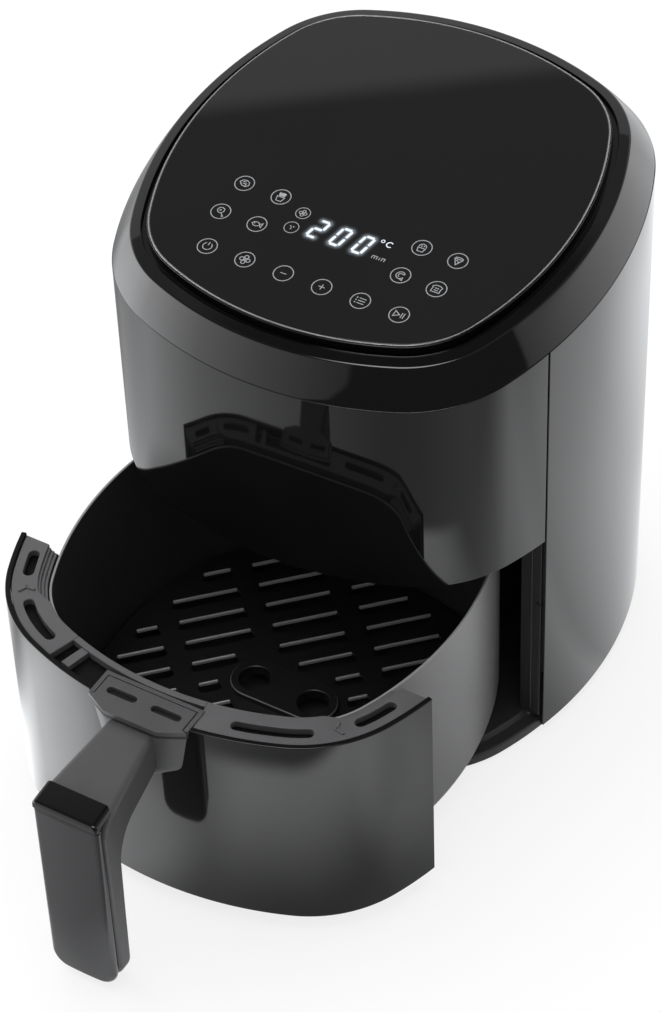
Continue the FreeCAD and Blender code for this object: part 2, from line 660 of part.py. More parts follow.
# Posts beside the opening, with the switch behind the right one
switch_x = "half_width - switch_inset - seam_forward ^ 2 / (2 * side_radius)"
jamb_band = prism(
    "jamb_band", ("shell_wall + fit_gap", "liner_inset - fit_gap"), "base_floor", collar_low
)
jamb_slab = block("jamb_slab", ("-" + far, far), (mouth_front, mouth_back), ("0", "shell_top"))
plunger_hole = rod(
    "plunger_hole", "plunger_radius + fit_gap", "-" + far, "0", switch_x, "switch_height"
)
mouth_block = block("mouth_block", ("-(%s)" % mouth_half, mouth_half), ("-" + far, "0"), ("0", "shell_top"))
jambs = cut(
    "opening_jambs",
    common("jamb_posts", jamb_band, jamb_slab),
    mouth_block,
    plunger_hole,
    base_screw_holes("jamb_screws"),
)
node(jambs, "opening_jambs")

plunger_front = "%s + fit_gap" % drawer_end
plunger_back = "%s + plunger_length" % plunger_front
switch_back = "%s + switch_length" % mouth_back
switch_box = block(
    "switch_box",
    ("%s - switch_width" % switch_x, "%s + plunger_radius + fit_gap" % switch_x),
    (mouth_back, switch_back),
    ("switch_height - switch_tall / 2", "switch_height + switch_tall / 2"),
)
switch_bore = rod(
    "switch_bore",
    "plunger_radius + running_gap",
    mouth_back,
    "%s + plunger_travel + fit_gap" % plunger_back,
    switch_x,
    "switch_height",
)
node(cut("switch_body", switch_box, switch_bore), "switch_body")
plunger = rod("switch_plunger", "plunger_radius", plunger_front, plunger_back, switch_x, "switch_height")
node(plunger, "switch_plunger")

# Cooking chamber
collar = prism(
    "chamber_collar",
    ("shell_wall + fit_gap", "liner_inset - fit_gap"),
    collar_low,
    "%s + collar_thick" % collar_low,
)
node(collar, "chamber_collar")
liner_ring = prism("liner_ring", ("liner_inset", "liner_inset + liner_wall"), "base_floor", "liner_top")
liner_mouth = block(
    "liner_mouth", ("-" + far, far), ("-" + far, mouth_back), ("0", "%s + collar_thick" % collar_low)
)
cheek_back = "%s + cheek_length" % mouth_back
liner_throat = block(
    "liner_throat", ("-(%s)" % mouth_half, mouth_half), ("-" + far, cheek_back), ("0", collar_low)
)
cheeks = []
for side in both:
    inner = "%d * (%s)" % (side, mouth_half)
    outer = "%d * (%s + liner_wall)" % (side, mouth_half)
    across = (outer, inner) if side < 0 else (inner, outer)
    cheeks.append(block("cheek", across, (mouth_back, cheek_back), ("base_floor", collar_low)))
liner_wrap = cut("liner_wrap", liner_ring, liner_mouth, liner_throat)
node(fuse("cooking_liner", [liner_wrap] + cheeks), "cooking_liner")


side_bow = number("side_radius")
corner_bow = number("corner_radius")
side_x, back_y, corner_x, corner_y = plan_centres()
side_end = math.atan2(corner_y, corner_x - side_x)
back_end = math.atan2(corner_y - back_y, corner_x)


def within(x, y, inset):
    # True where a point lies inside the plan moved in by the inset
    across = abs(x)
    along = abs(y)
    if math.atan2(along, across - side_x) < side_end:
        return math.hypot(across - side_x, along) < side_bow - inset
    if math.atan2(along - back_y, across) > back_end:
        return math.hypot(across, along - back_y) < side_bow - inset
    return math.hypot(across - corner_x, along - corner_y) < corner_bow - inset


guard_plate = prism(
    "guard_plate",
    ("liner_inset + liner_wall + fit_gap",),
    "guard_low",
    "guard_low + guard_thick",
)
guard_edge = number("liner_inset + liner_wall + fit_gap + guard_margin + guard_hole")
guard_pitch = number("guard_pitch")
guard_rows = int(number("half_depth / guard_pitch"))
guard_holes = []
for row in range(-guard_rows, guard_rows + 1):
    for column in range(-guard_rows, guard_rows + 1):
        x = (column + 0.5 * (row % 2)) * guard_pitch
        y = row * guard_pitch * math.sin(math.radians(60))
        if within(x, y, guard_edge):
            foot = FreeCAD.Vector(x, y, number("guard_low - cut_past"))
            hole_height = number("guard_thick + 2 * cut_past")
            guard_holes.append(Part.makeCylinder(number("guard_hole"), hole_height, foot))
guard_tools = made("guard_holes", Part.makeCompound(guard_holes))
node(cut("heater_guard", guard_plate, guard_tools), "heater_guard")


# Heating tube: half turns on two centres, with both ends bent up through the reflector
def heater_path():
    height = number("heater_height")
    inner = number("heater_inner")
    step = number("heater_step")
    bend = number("heater_bend")
    top = number("heater_top")
    corner = bend * (1 - math.sqrt(0.5))

    def point(x, y, z):
        return FreeCAD.Vector(x, y, z)

    low_bend = height + bend
    edges = [Part.LineSegment(point(inner, -bend, top), point(inner, -bend, low_bend)).toShape()]
    middle = point(inner, corner - bend, height + corner)
    bend_in = Part.Arc(point(inner, -bend, low_bend), middle, point(inner, 0, height))
    edges.append(bend_in.toShape())
    turns = int(number("heater_turns"))
    for turn in range(turns):
        radius = inner + 2 * turn * step
        top_of_turn = point(0, radius, height)
        edges.append(Part.Arc(point(radius, 0, height), top_of_turn, point(-radius, 0, height)).toShape())
        wider = radius + step
        end = point(wider + step, 0, height)
        edges.append(Part.Arc(point(-radius, 0, height), point(step, -wider, height), end).toShape())
    outer = inner + 2 * turns * step
    middle = point(outer, bend - corner, height + corner)
    edges.append(Part.Arc(point(outer, 0, height), middle, point(outer, bend, low_bend)).toShape())
    edges.append(Part.LineSegment(point(outer, bend, low_bend), point(outer, bend, top)).toShape())
    return Part.Wire(edges)


def tube_along(path, radius):
    start = path.Edges[0]
    first = start.valueAt(start.FirstParameter)
    along = start.tangentAt(start.FirstParameter)
    section = Part.Wire([Part.Circle(first, along, radius).toShape()])
    return path.makePipeShell([section], True, False)


heater_wire = heater_path()
heater_shape = tube_along(heater_wire, number("heater_tube"))
turn_gap = number("2 * heater_step - 2 * heater_tube")
expected = math.pi * number("heater_tube") ** 2 * heater_wire.Length
heater_numbers = (turn_gap, heater_shape.Volume, expected)
print("heating tube: gap between turns %.2f, volume %.0f of %.0f" % heater_numbers)
node(made("heating_element", heater_shape), "heating_element")

clips = []
for angle in clip_angles:
    across = ("-clip_width / 2", "clip_width / 2")
    bar = block("clip_bar", ("clip_inner", clip_outer), across, (clip_low, "%s + clip_thick" % clip_low))
    post = block("clip_post", ("%s - clip_post" % clip_outer, clip_outer), across, (clip_low, "liner_top"))
    hole_low = "liner_top - clip_screw_grip - fit_gap"
    hole = drum("clip_hole", screw_hole, hole_low, "liner_top", clip_middle)
    clips.append(turned_about_shaft(cut("clip", fuse("clip_solid", (bar, post)), hole), angle))
node(together("heater_clips", clips), "heater_clips")

reflector_screws = []
reflector_holes = []
for angle in clip_angles:
    head_top = "%s + head_height" % reflector_top
    head = drum("reflector_head", "head_radius", reflector_top, head_top, clip_middle)
    shank_low = "liner_top - clip_screw_grip"
    shank = drum("reflector_shank", "screw_radius", shank_low, reflector_top, clip_middle)
    screw = fuse("reflector_screw", (head, shank))
    reflector_screws.append(turned_about_shaft(screw, angle))
    hole = together("reflector_hole", [drum("reflector_bore", screw_hole, "0", "shell_top", clip_middle)])
    reflector_holes.append(turned_about_shaft(hole, angle))
node(together("reflector_screws", reflector_screws), "reflector_screws")

tube_hole = "heater_tube + fit_gap"
heater_outer = "heater_inner + 2 * heater_turns * heater_step"
inner_tail = drum("inner_tail", tube_hole, "0", "shell_top", "heater_inner", "-heater_bend")
outer_tail = drum("outer_tail", tube_hole, "0", "shell_top", heater_outer, "heater_bend")
sensor_place = ("sensor_side", "sensor_inset - half_depth")
sensor_hole = drum("sensor_hole", "sensor_radius + fit_gap", "0", "shell_top", *sensor_place)
reflector = cut(
    "heater_reflector",
    prism("reflector_plate", ("reflector_inset",), "liner_top", reflector_top),
    drum("reflector_centre", "shaft_hole", "0", "shell_top"),
    inner_tail,
    outer_tail,
    sensor_hole,
    *reflector_holes,
)
node(reflector, "heater_reflector")

flange_top = "%s + flange_thick" % reflector_top
sensor_parts = (
    drum("sensor_rod", "sensor_radius", "sensor_low", reflector_top, *sensor_place),
    drum("sensor_plate", "sensor_flange", reflector_top, flange_top, *sensor_place),
)
node(fuse("temperature_sensor", sensor_parts), "temperature_sensor")
fuse_box = block(
    "thermal_fuse",
    ("-fuse_side - fuse_length / 2", "-fuse_side + fuse_length / 2"),
    ("fuse_back - fuse_width / 2", "fuse_back + fuse_width / 2"),
    (reflector_top, "%s + fuse_width" % reflector_top),
)
node(fuse_box, "thermal_fuse")

# Heat shield and motor
spacers = []
for x in both:
    for y in both:
        place = ("%d * spacer_side" % x, "%d * spacer_back" % y)
        spacers.append(drum("shield_spacer", "spacer_radius", reflector_top, shield_low, *place))
node(together("shield_spacers", spacers), "shield_spacers")
shield = cut(
    "heat_shield",
    prism("shield_plate", ("shield_inset",), shield_low, shield_top),
    drum("shield_centre", "shaft_hole", "0", "shell_top"),
)
node(shield, "heat_shield")

bracket_parts = [drum("bracket_centre", "bracket_disc", bracket_low, stator_low)]
for angle in leg_angles:
    across = ("-leg_width / 2", "leg_width / 2")
    arm = block("bracket_arm", ("stator_radius", "bracket_leg"), across, (bracket_low, stator_low))
    depth = ("bracket_leg - leg_depth", "bracket_leg")
    leg = block("bracket_leg_post", depth, across, (shield_top, stator_low))
    bracket_parts.append(turned_about_shaft(fuse("bracket_arm_leg", (arm, leg)), angle))


def motor_screw_holes(label):
    holes = []
    for angle in motor_screw_angles:
        hole = drum(label + "_bore", screw_hole, bracket_low, stator_top, "motor_screw_circle")
        holes.append(turned_about_shaft(together(label + "_hole", [hole]), angle))
    return together(label, holes)


bush_seat = drum("bush_seat", "bush_radius + running_gap", bracket_low, stator_top)
bracket_solid = fuse("bracket_solid", bracket_parts)
bracket = cut("motor_bracket", bracket_solid, bush_seat, motor_screw_holes("bracket_holes"))
node(bracket, "motor_bracket")
stator = cut(
    "motor_stator",
    ring("stator_ring", "stator_radius", "rotor_radius + fit_gap", stator_low, stator_top),
    motor_screw_holes("stator_holes"),
)
node(stator, "motor_stator")
motor_screws = []
for angle in motor_screw_angles:
    circle = "motor_screw_circle"
    head = drum("motor_head", "head_radius", "%s - head_height" % bracket_low, bracket_low, circle)
    shank = drum("motor_shank", "screw_radius", bracket_low, "%s + motor_screw_length" % stator_low, circle)
    motor_screws.append(turned_about_shaft(fuse("motor_screw", (head, shank)), angle))
node(together("motor_screws", motor_screws), "motor_screws")
cap_top = "%s + cap_height" % stator_top
cap = ring("motor_end_cap", "stator_radius", "bush_radius + running_gap", stator_top, cap_top)
node(cap, "motor_end_cap")
bush_bore = "shaft_radius + running_gap"
low_bush = ring("low_bush", "bush_radius", bush_bore, "%s - bush_height" % stator_low, stator_low)
high_bush = ring("high_bush", "bush_radius", bush_bore, stator_top, "%s + bush_height" % stator_top)
node(together("shaft_bushes", (low_bush, high_bush)), "shaft_bushes")

# Rotor: shaft, rotor core and the two fan wheels
shaft_low = "hot_fan_low - nut_height - fit_gap"
shaft_top = "%s + bush_height" % cap_top
node(drum("motor_shaft", "shaft_radius", shaft_low, shaft_top), "motor_shaft")
press_bore = "shaft_radius + press_gap"
rotor_low = "%s + rotor_short" % stator_low
rotor_top = "%s - rotor_short" % stator_top
node(ring("motor_rotor", "rotor_radius", press_bore, rotor_low, rotor_top), "motor_rotor")


def fan_wheel(label, low, height, radius, disc_low, blades):
    high = "%s + %s" % (low, height)
    count = int(number(blades))
    parts = [drum(label + "_hub", "hub_radius", low, high)]
    parts.append(drum(label + "_disc", radius, disc_low, "%s + blade_thick" % disc_low))
    for index in range(count):
        across = ("-blade_thick / 2", "blade_thick / 2")
        blade = block(label + "_blade", ("hub_radius - blade_thick", radius), across, (low, high))
        holder = together(label + "_place", [blade])
        parts.append(turned_about_shaft(holder, index * 360 / count))
    bore = drum(label + "_bore", press_bore, "0", "shell_top")
    return cut(label, fuse(label + "_solid", parts), bore)


hot_disc = "hot_fan_low + hot_fan_height - blade_thick"
hot_fan = fan_wheel(
    "hot_air_fan", "hot_fan_low", "hot_fan_height", "hot_fan_radius", hot_disc, "hot_fan_blades"
)
node(hot_fan, "hot_air_fan")
cool_low = "%s + cool_fan_lift" % shield_top
cool_fan = fan_wheel(
    "cooling_fan", cool_low, "cool_fan_height", "cool_fan_radius", cool_low, "cool_fan_blades"
)
node(cool_fan, "cooling_fan")
nut_prism = doc.addObject("Part::Prism", "nut_prism")
nut_prism.Polygon = 6
bind(nut_prism, {"Circumradius": "nut_radius", "Height": "nut_height"})
bind(nut_prism, {"Placement.Base.z": "hot_fan_low - nut_height"})
nut_bore = drum("nut_bore", press_bore, "0", "shell_top")
node(cut("fan_nut", nut_prism, nut_bore), "fan_nut")

# Power board
power_x = ("-power_left", "-power_right")
power_y = ("power_front", "power_back")
node(block("power_board", power_x, power_y, (power_low, power_top)), "power_board")
power_spacers = []
for x in ("power_margin - power_left", "-power_right - power_margin"):
    for y in ("power_front + power_margin", "power_back - power_margin"):
        power_spacers.append(drum("power_spacer", "spacer_radius", shield_top, power_low, x, y))
node(together("power_board_spacers", power_spacers), "power_board_spacers")
part_left = "power_margin - power_left"
part_front = "power_front + power_margin"
transformer = block(
    "power_transformer",
    (part_left, "%s + transformer_side" % part_left),
    (part_front, "%s + transformer_side" % part_front),
    (power_top, "%s + transformer_height" % power_top),
)
node(transformer, "power_transformer")
relay_back = "power_back - power_margin"
relay = block(
    "power_relay",
    (part_left, "%s + relay_width" % part_left),
    ("%s - relay_length" % relay_back, relay_back),
    (power_top, "%s + relay_height" % power_top),
)
node(relay, "power_relay")
capacitors = []
for index in range(2):
    x = "-power_right - capacitor_radius - power_margin / 2"
    y = "%s - capacitor_radius - %d * (2 * capacitor_radius + power_margin)" % (relay_back, index)
    top = "%s + capacitor_height" % power_top
    capacitors.append(drum("capacitor", "capacitor_radius", power_top, top, x, y))
node(together("power_capacitors", capacitors), "power_capacitors")

# Top, built level and then tilted
cover = new_body("top_cover_body")
sections = []
for inset, lift in (
    ("cover_inset", "cover_gap"),
    ("cover_slope", "cover_rise"),
    ("cover_slope + ring_width", "cover_rise + ring_rise"),
):
    section = new_sketch(cover, "XY_Plane", lift)
    outline(section, inset, tilted_depth)
    sections.append(section)
cover_loft = cover.newObject("PartDesign::AdditiveLoft", "cover_loft")
cover_loft.Profile = sections[0]
cover_loft.Sections = sections[1:]
cover_loft.Ruled = True
recess_sketch = new_sketch(cover, "XY_Plane", "cover_rise + ring_rise")
outline(recess_sketch, "glass_inset - trim_width - 2 * trim_gap", tilted_depth)
pocket(cover, recess_sketch, "glass_thick")
inside_sketch = new_sketch(cover, "XY_Plane", "cover_gap")
outline(inside_sketch, "cover_slope + cover_wall", tilted_depth)
pocket(cover, inside_sketch, "%s - cover_gap" % ceiling, upward=True)
spigot_sketch = new_sketch(cover, "XY_Plane", "cover_gap")
outline(spigot_sketch, "spigot_inset", tilted_depth)
outline(spigot_sketch, "spigot_inset + spigot_wall", tilted_depth)
pad(cover, spigot_sketch, "spigot_depth", reverse=True)
display_x = ("display_side - display_length / 2", "display_side + display_length / 2")
display_y = ("-display_forward - display_width / 2", "display_width / 2 - display_forward")
window = block(
    "display_window",
    ["%s %s fit_gap" % pair for pair in zip(display_x, "-+")],
    ["%s %s fit_gap" % pair for pair in zip(display_y, "-+")],
    ("0", glass_low),
)
node(on_top(cut("top_cover", cover, window)), "top_cover")

glass_top = "cover_rise + ring_rise + fit_gap"
glass = prism("control_glass", ("glass_inset",), glass_low, glass_top, tilted_depth)
node(on_top(glass), "control_glass")
trim_insets = ("glass_inset - trim_gap - trim_width", "glass_inset - trim_gap")
trim = prism("glass_trim_ring", trim_insets, glass_low, glass_top, tilted_depth)
node(on_top(trim), "glass_trim_ring")
board = prism("control_board", ("board_inset",), "%s - board_thick" % board_top, board_top, tilted_depth)
node(on_top(board), "control_board")
display = block("display_box", display_x, display_y, (board_top, glass_low))
node(on_top(together("display_module", [display])), "display_module")
posts = []
for x in both:
    for y in both:
        place = ("%d * post_spread" % x, "%d * post_spread" % y)
        posts.append(drum("board_post", "post_radius", board_top, ceiling, *place))
node(on_top(together("board_posts", posts)), "board_posts")

# Drawer, modelled shut and then moved out to where it stands
front_of_seam = block("front_of_seam", ("-" + far, far), beyond_front, ("0", "shell_top"))


def front_band(label, insets, low, high):
    # The part of a band that lies ahead of the side seams
    return common(label, prism(label + "_ring", insets, low, high), front_of_seam)


def handle_screw_holes(label):
    holes = []
    for side in both:
        x = "%d * handle_screw_side" % side
        holes.append(rod(label + "_hole", screw_hole, apron_front, "0", x, handle_screw_height))
    return together(label, holes)


def bracket_notch(label):
    # Room for the handle bracket in the top of the panel and in the rim
    return block(
        label,
        ("-bracket_half - fit_gap", "bracket_half + fit_gap"),
        (apron_front, "%s + fit_gap" % bracket_back),
        ("%s - fit_gap" % bracket_seat, "panel_low"),
    )


bracket_back = "%s + front_wall + bracket_tongue" % panel_front
handle_screw_height = "%s - handle_screw_drop" % drawer_top
front_panel = cut(
    "drawer_front_panel",
    front_band("front_panel_band", ("0", "front_wall"), "drawer_foot", drawer_top),
    handle_screw_holes("front_panel_holes"),
    bracket_notch("front_panel_notch"),
)
node(in_drawer(front_panel), "drawer_front_panel")
backing_outer = "front_wall + fit_gap"
backing_inner = "%s + backing_wall" % backing_outer
backing = cut(
    "drawer_backing",
    front_band("backing_band", (backing_outer, backing_inner), "backing_low", rim_low),
    handle_screw_holes("backing_holes"),
)
node(in_drawer(backing), "drawer_backing")

rim_plate = front_band("rim_plate", (backing_outer, "pan_inset - fit_gap"), rim_low, rim_top)
slot_low = "%s - cut_past" % rim_low
slot_high = "%s + cut_past" % rim_top
slot_band = prism("slot_band", ("rim_slot_outer", "rim_slot_inner"), slot_low, slot_high)
wedges = []
for start, end in rim_slots:
    wedges.append(slice_of_circle("rim_wedge", start, end, "0", "shell_top"))
rim_cuts = common("rim_cuts", slot_band, together("rim_wedges", wedges))
node(in_drawer(cut("drawer_rim", rim_plate, rim_cuts, bracket_notch("rim_notch"))), "drawer_rim")


def tub(label, inset, low, high, radius):
    # The plan raised to a block, with its lower edge rounded
    body = prism(label, (inset,), low, high)
    fillet(body, radius, level(low))
    return body


pan_block = tub("pan_block", "pan_inset", pan_low, "pan_top", "pan_round")
inner_round = "pan_round - pan_wall"
pan_space = tub("pan_space", "pan_inset + pan_wall", pan_inside, "pan_top + cut_past", inner_round)
pan = cut("pan", pan_block, pan_space)
node(in_drawer(pan), "pan")

# Handle
plate = block(
    "bracket_over",
    ("-bracket_half", "bracket_half"),
    (apron_front, bracket_back),
    (bracket_seat, drawer_top),
)
apron = block(
    "bracket_apron",
    ("-apron_half", "apron_half"),
    (apron_front, panel_front),
    ("%s - apron_drop" % drawer_top, drawer_top),
)
bracket_clear = common(
    "bracket_clear",
    prism("bracket_space", ("-fit_gap", backing_outer), "0", bracket_seat),
    block("bracket_front", ("-" + far, far), ("-" + far, "0"), ("0", "shell_top")),
)
bracket_slots = []
for side in both:
    low_x = "bracket_slot_start" if side > 0 else "-bracket_slot_start - bracket_slot_length"
    low_y = "%s + bracket_slot_inset" % panel_front
    bracket_slots.append(block(
        "bracket_slot",
        (low_x, "%s + bracket_slot_length" % low_x),
        (low_y, "%s + bracket_slot_width" % low_y),
        ("%s - bracket_slot_depth" % drawer_top, "panel_low"),
    ))
handle_bracket = cut(
    "handle_bracket",
    fuse("bracket_parts", (plate, apron)),
    bracket_clear,
    handle_screw_holes("bracket_screw_holes"),
    *bracket_slots,
)
node(in_drawer(handle_bracket), "handle_bracket")

core_back = "%s + grip_thick" % core_front
core = new_body("handle_arm")
core_sketch = new_sketch(core, "YZ_Plane")
polygon(core_sketch, (
    (apron_front, arm_top),
    (core_front, grip_top),
    (core_front, "grip_low"),
    (core_back, "grip_low"),
    (core_back, "%s - arm_height" % grip_top),
    (apron_front, "%s - arm_root_height" % arm_top),
))
pad(core, core_sketch, "2 * grip_half", both_sides=True)
taper_sketch = new_sketch(core, "XY_Plane")
for side in both:
    polygon(taper_sketch, (
        ("%d * arm_root_half" % side, apron_front),
        ("%d * grip_half" % side, core_back),
        ("%d * 2 * grip_half" % side, core_back),
        ("%d * 2 * grip_half" % side, apron_front),
    ))
pocket(core, taper_sketch, upward=True)
fillet(core, "arm_bend", cross_edge(core_front, grip_top))
fillet(core, "arm_bend", cross_edge(core_back, "%s - arm_height" % grip_top))
node(in_drawer(core), "handle_arm")

plate_back = "%s - joint_line" % core_front
plate_top = "%s - joint_line" % accent_low
front_plate = new_body("handle_grip_front")
front_sketch = new_sketch(front_plate, "YZ_Plane")
polygon(front_sketch, (
    (plate_back, plate_top),
    (grip_front, plate_top),
    (grip_front, "grip_low"),
    (plate_back, "grip_low"),
))
pad(front_plate, front_sketch, "2 * grip_half", both_sides=True)
node(in_drawer(front_plate), "handle_grip_front")

arm_slope = "arm_fall / (arm_reach - apron_wall)"
accent_back = "%s + accent_reach" % core_front
accent = new_body("handle_accent")
accent_sketch = new_sketch(accent, "YZ_Plane")
polygon(accent_sketch, (
    (plate_back, accent_low),
    (plate_back, "%s + joint_line" % grip_top),
    (accent_back, "%s + joint_line + accent_reach * %s" % (grip_top, arm_slope)),
    (accent_back, "%s + joint_line + accent_thick + accent_reach * %s" % (grip_top, arm_slope)),
    (grip_front, "%s + joint_line + accent_thick - grip_plate * %s" % (grip_top, arm_slope)),
    (grip_front, accent_low),
))
pad(accent, accent_sketch, "2 * grip_half", both_sides=True)
accent_corner = "%s + joint_line + accent_thick - grip_plate * %s" % (grip_top, arm_slope)
fillet(accent, "grip_plate / 2", cross_edge(grip_front, accent_corner))
node(in_drawer(accent), "handle_accent")

# The heads stand clear of the bowed wall at their outer edges
handle_screws = []
backing_bow = "side_radius - (%s)" % backing_inner
head_bow = "%s - sqrt((%s) ^ 2 - (handle_screw_side + head_radius) ^ 2)" % (backing_bow, backing_bow)
for side in both:
    x = "%d * handle_screw_side" % side
    seat = "%s + %s + %s + press_gap" % (panel_front, backing_inner, head_bow)
    tip = "%s + screw_radius" % apron_front
    shank = rod("handle_shank", "screw_radius", tip, seat, x, handle_screw_height)
    head = rod("handle_head", "head_radius", seat, "%s + head_height" % seat, x, handle_screw_height)
    handle_screws.append(fuse("handle_screw", (shank, head)))
node(in_drawer(together("handle_screws", handle_screws)), "handle_screws")

# Crisper plate: diagonal slots in rows, cut short at the plate's edge and round the finger boss
slot_length = number("crisper_slot_length")
slot_width = number("crisper_slot_width")
slot_pitch = number("crisper_slot_pitch")
row_pitch = number("crisper_row_pitch")
slot_edge = number("crisper_inset + crisper_edge")
boss_half = number("crisper_boss_half - crisper_boss_radius")
boss_reach = number("crisper_boss_radius + crisper_edge / 2")
diagonal = math.sqrt(0.5)


def open_plate(along, across):
    # True where a slot may run, at a place given along and across the slots
    x = (along - across) * diagonal
    y = (along + across) * diagonal
    clear = math.hypot(max(abs(x) - boss_half, 0), y) > boss_reach
    return clear and within(x, y, slot_edge)


def slot_runs(row_middle, across):
    # The open stretches of one slot, in steps of a millimetre
    runs = []
    steps = int(slot_length)
    for step in range(steps + 1):
        along = row_middle - slot_length / 2 + step * slot_length / steps
        edges = (across - slot_width / 2, across + slot_width / 2)
        if not all(open_plate(along, edge) for edge in edges):
            runs.append(None)
        elif runs and runs[-1]:
            runs[-1] = (runs[-1][0], along)
        else:
            runs.append((along, along))
    return [run for run in runs if run and run[1] - run[0] > number("crisper_slot_least")]


slots = []
rows = int(number("2 * half_depth / crisper_row_pitch"))
columns = int(number("2 * half_depth / crisper_slot_pitch"))
for row in range(-rows, rows):
    for column in range(-columns, columns + 1):
        across = column * slot_pitch
        for low, high in slot_runs((row + 0.5) * row_pitch, across):
            corner = FreeCAD.Vector(low, across - slot_width / 2, number("%s - cut_past" % crisper_low))
            slot = Part.makeBox(high - low, slot_width, number("crisper_thick + 2 * cut_past"), corner)
            slot.rotate(FreeCAD.Vector(), FreeCAD.Vector(0, 0, 1), 45)
            slots.append(slot)
boss_top = "%s + crisper_boss_height" % crisper_top
boss_straight = "crisper_boss_half - crisper_boss_radius"
boss_parts = [block(
    "boss_bar",
    ("-(%s)" % boss_straight, boss_straight),
    ("-crisper_boss_radius", "crisper_boss_radius"),
    (crisper_low, boss_top),
)]
finger_holes = []
for side in both:
    x = "%d * (%s)" % (side, boss_straight)
    boss_parts.append(drum("boss_end", "crisper_boss_radius", crisper_low, boss_top, x))
    x = "%d * finger_side" % side
    finger_holes.append(drum("finger_hole", "finger_radius", "0", "panel_low", x))
plate_blank = prism("crisper_blank", ("crisper_inset",), crisper_low, crisper_top)
crisper = cut(
    "crisper_plate",
    fuse("crisper_solid", [plate_blank] + boss_parts),
    made("crisper_slots", Part.makeCompound(slots)),
    *finger_holes,
)
node(in_drawer(crisper), "crisper_plate")
bumpers = []
for x in both:
    for y in both:
        place = ("%d * bumper_spread" % x, "%d * bumper_spread" % y)
        bumpers.append(drum("bumper", "bumper_radius", "%s + fit_gap" % pan_inside, crisper_low, *place))
node(in_drawer(together("crisper_bumpers", bumpers)), "crisper_bumpers")

doc.recompute()
faults = []
for item in doc.Objects:
    if "Invalid" in item.State or "Error" in item.State:
        faults.append("%s: %s" % (item.Label, item.State))
for item in nodes:
    if item.Shape.isNull() or not item.Shape.isValid() or not item.Shape.Solids:
        faults.append("%s: no valid solid" % item.Label)
if faults:
    raise RuntimeError("; ".join(faults))

os.makedirs("parts", exist_ok=True)
for item in nodes:
    item.Shape.exportStep("parts/%s.step" % item.Label)
    print("%s: solids %d, volume %.0f" % (item.Label, len(item.Shape.Solids), item.Shape.Volume))
print("%d nodes" % len(nodes))
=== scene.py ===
import bpy
import bmesh
import json
import math
from mathutils import Matrix, Vector

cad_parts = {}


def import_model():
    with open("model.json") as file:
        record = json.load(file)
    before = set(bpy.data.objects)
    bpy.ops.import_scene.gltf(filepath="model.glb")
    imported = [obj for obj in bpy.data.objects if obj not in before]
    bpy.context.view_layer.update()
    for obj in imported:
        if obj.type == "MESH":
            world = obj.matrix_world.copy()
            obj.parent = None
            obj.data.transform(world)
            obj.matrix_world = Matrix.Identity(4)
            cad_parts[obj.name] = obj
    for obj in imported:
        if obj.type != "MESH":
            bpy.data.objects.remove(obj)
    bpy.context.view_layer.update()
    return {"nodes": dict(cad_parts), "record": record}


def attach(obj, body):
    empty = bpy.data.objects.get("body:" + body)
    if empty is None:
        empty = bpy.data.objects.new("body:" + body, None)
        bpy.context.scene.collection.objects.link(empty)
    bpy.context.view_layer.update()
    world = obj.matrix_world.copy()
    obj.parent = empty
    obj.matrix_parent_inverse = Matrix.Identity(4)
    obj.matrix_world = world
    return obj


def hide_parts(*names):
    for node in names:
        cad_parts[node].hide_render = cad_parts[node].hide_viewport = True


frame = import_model()
scene = bpy.context.scene
scene.view_settings.view_transform = "Standard"
print("frame loaded with", len(frame["nodes"]), "nodes")

# Camera at the photograph's viewing angle
cameraLook = {
    "place": (0.7059, -1.1797, 1.3834),
    "azimuth": 32.34,
    "elevation": 43.6,
    "roll": -2.43,
    "lens": 117.82,
    "sensor": 36,
}


def addCamera():
    data = bpy.data.cameras.new("photoCamera")
    data.sensor_fit = "VERTICAL"
    data.sensor_height = cameraLook["sensor"]
    data.lens = cameraLook["lens"]
    azimuth = math.radians(cameraLook["azimuth"])
    elevation = math.radians(cameraLook["elevation"])
    back = Vector((math.sin(azimuth) * math.cos(elevation), -math.cos(azimuth) * math.cos(elevation),
                   math.sin(elevation)))
    across = Vector((math.cos(azimuth), math.sin(azimuth), 0))
    turned = Matrix((across, back.cross(across), back)).transposed().to_4x4()
    roll = Matrix.Rotation(math.radians(cameraLook["roll"]), 4, "Z")
    camera = bpy.data.objects.new("photoCamera", data)
    scene.collection.objects.link(camera)
    camera.matrix_world = Matrix.Translation(cameraLook["place"]) @ turned @ roll
    scene.camera = camera


addCamera()

# Lengths below are in millimetres and angles in degrees, made metres when a piece is finished
plan = {
    "halfWidth": 135,
    "halfDepth": 136.5,
    "sideRadius": 208,
    "cornerRadius": 75,
    "tilt": 7.9,
    "topHeight": 291,
    "drawerPull": 122,
    "seamDepth": 54,
    "panelDepth": 55,
    "rearHalf": 48.3,
    "coverHalf": 48,
    "wallStep": 1.5,
    "searchSteps": 40,
    "handleSpan": (-269, 89),
}
finishing = {"millimetre": 0.001, "merge": 1e-4, "near": 0.01, "sharpAngle": 50, "normalWeight": 80}
tilt = math.radians(plan["tilt"])
tiltedDepth = plan["halfDepth"] / math.cos(tilt)


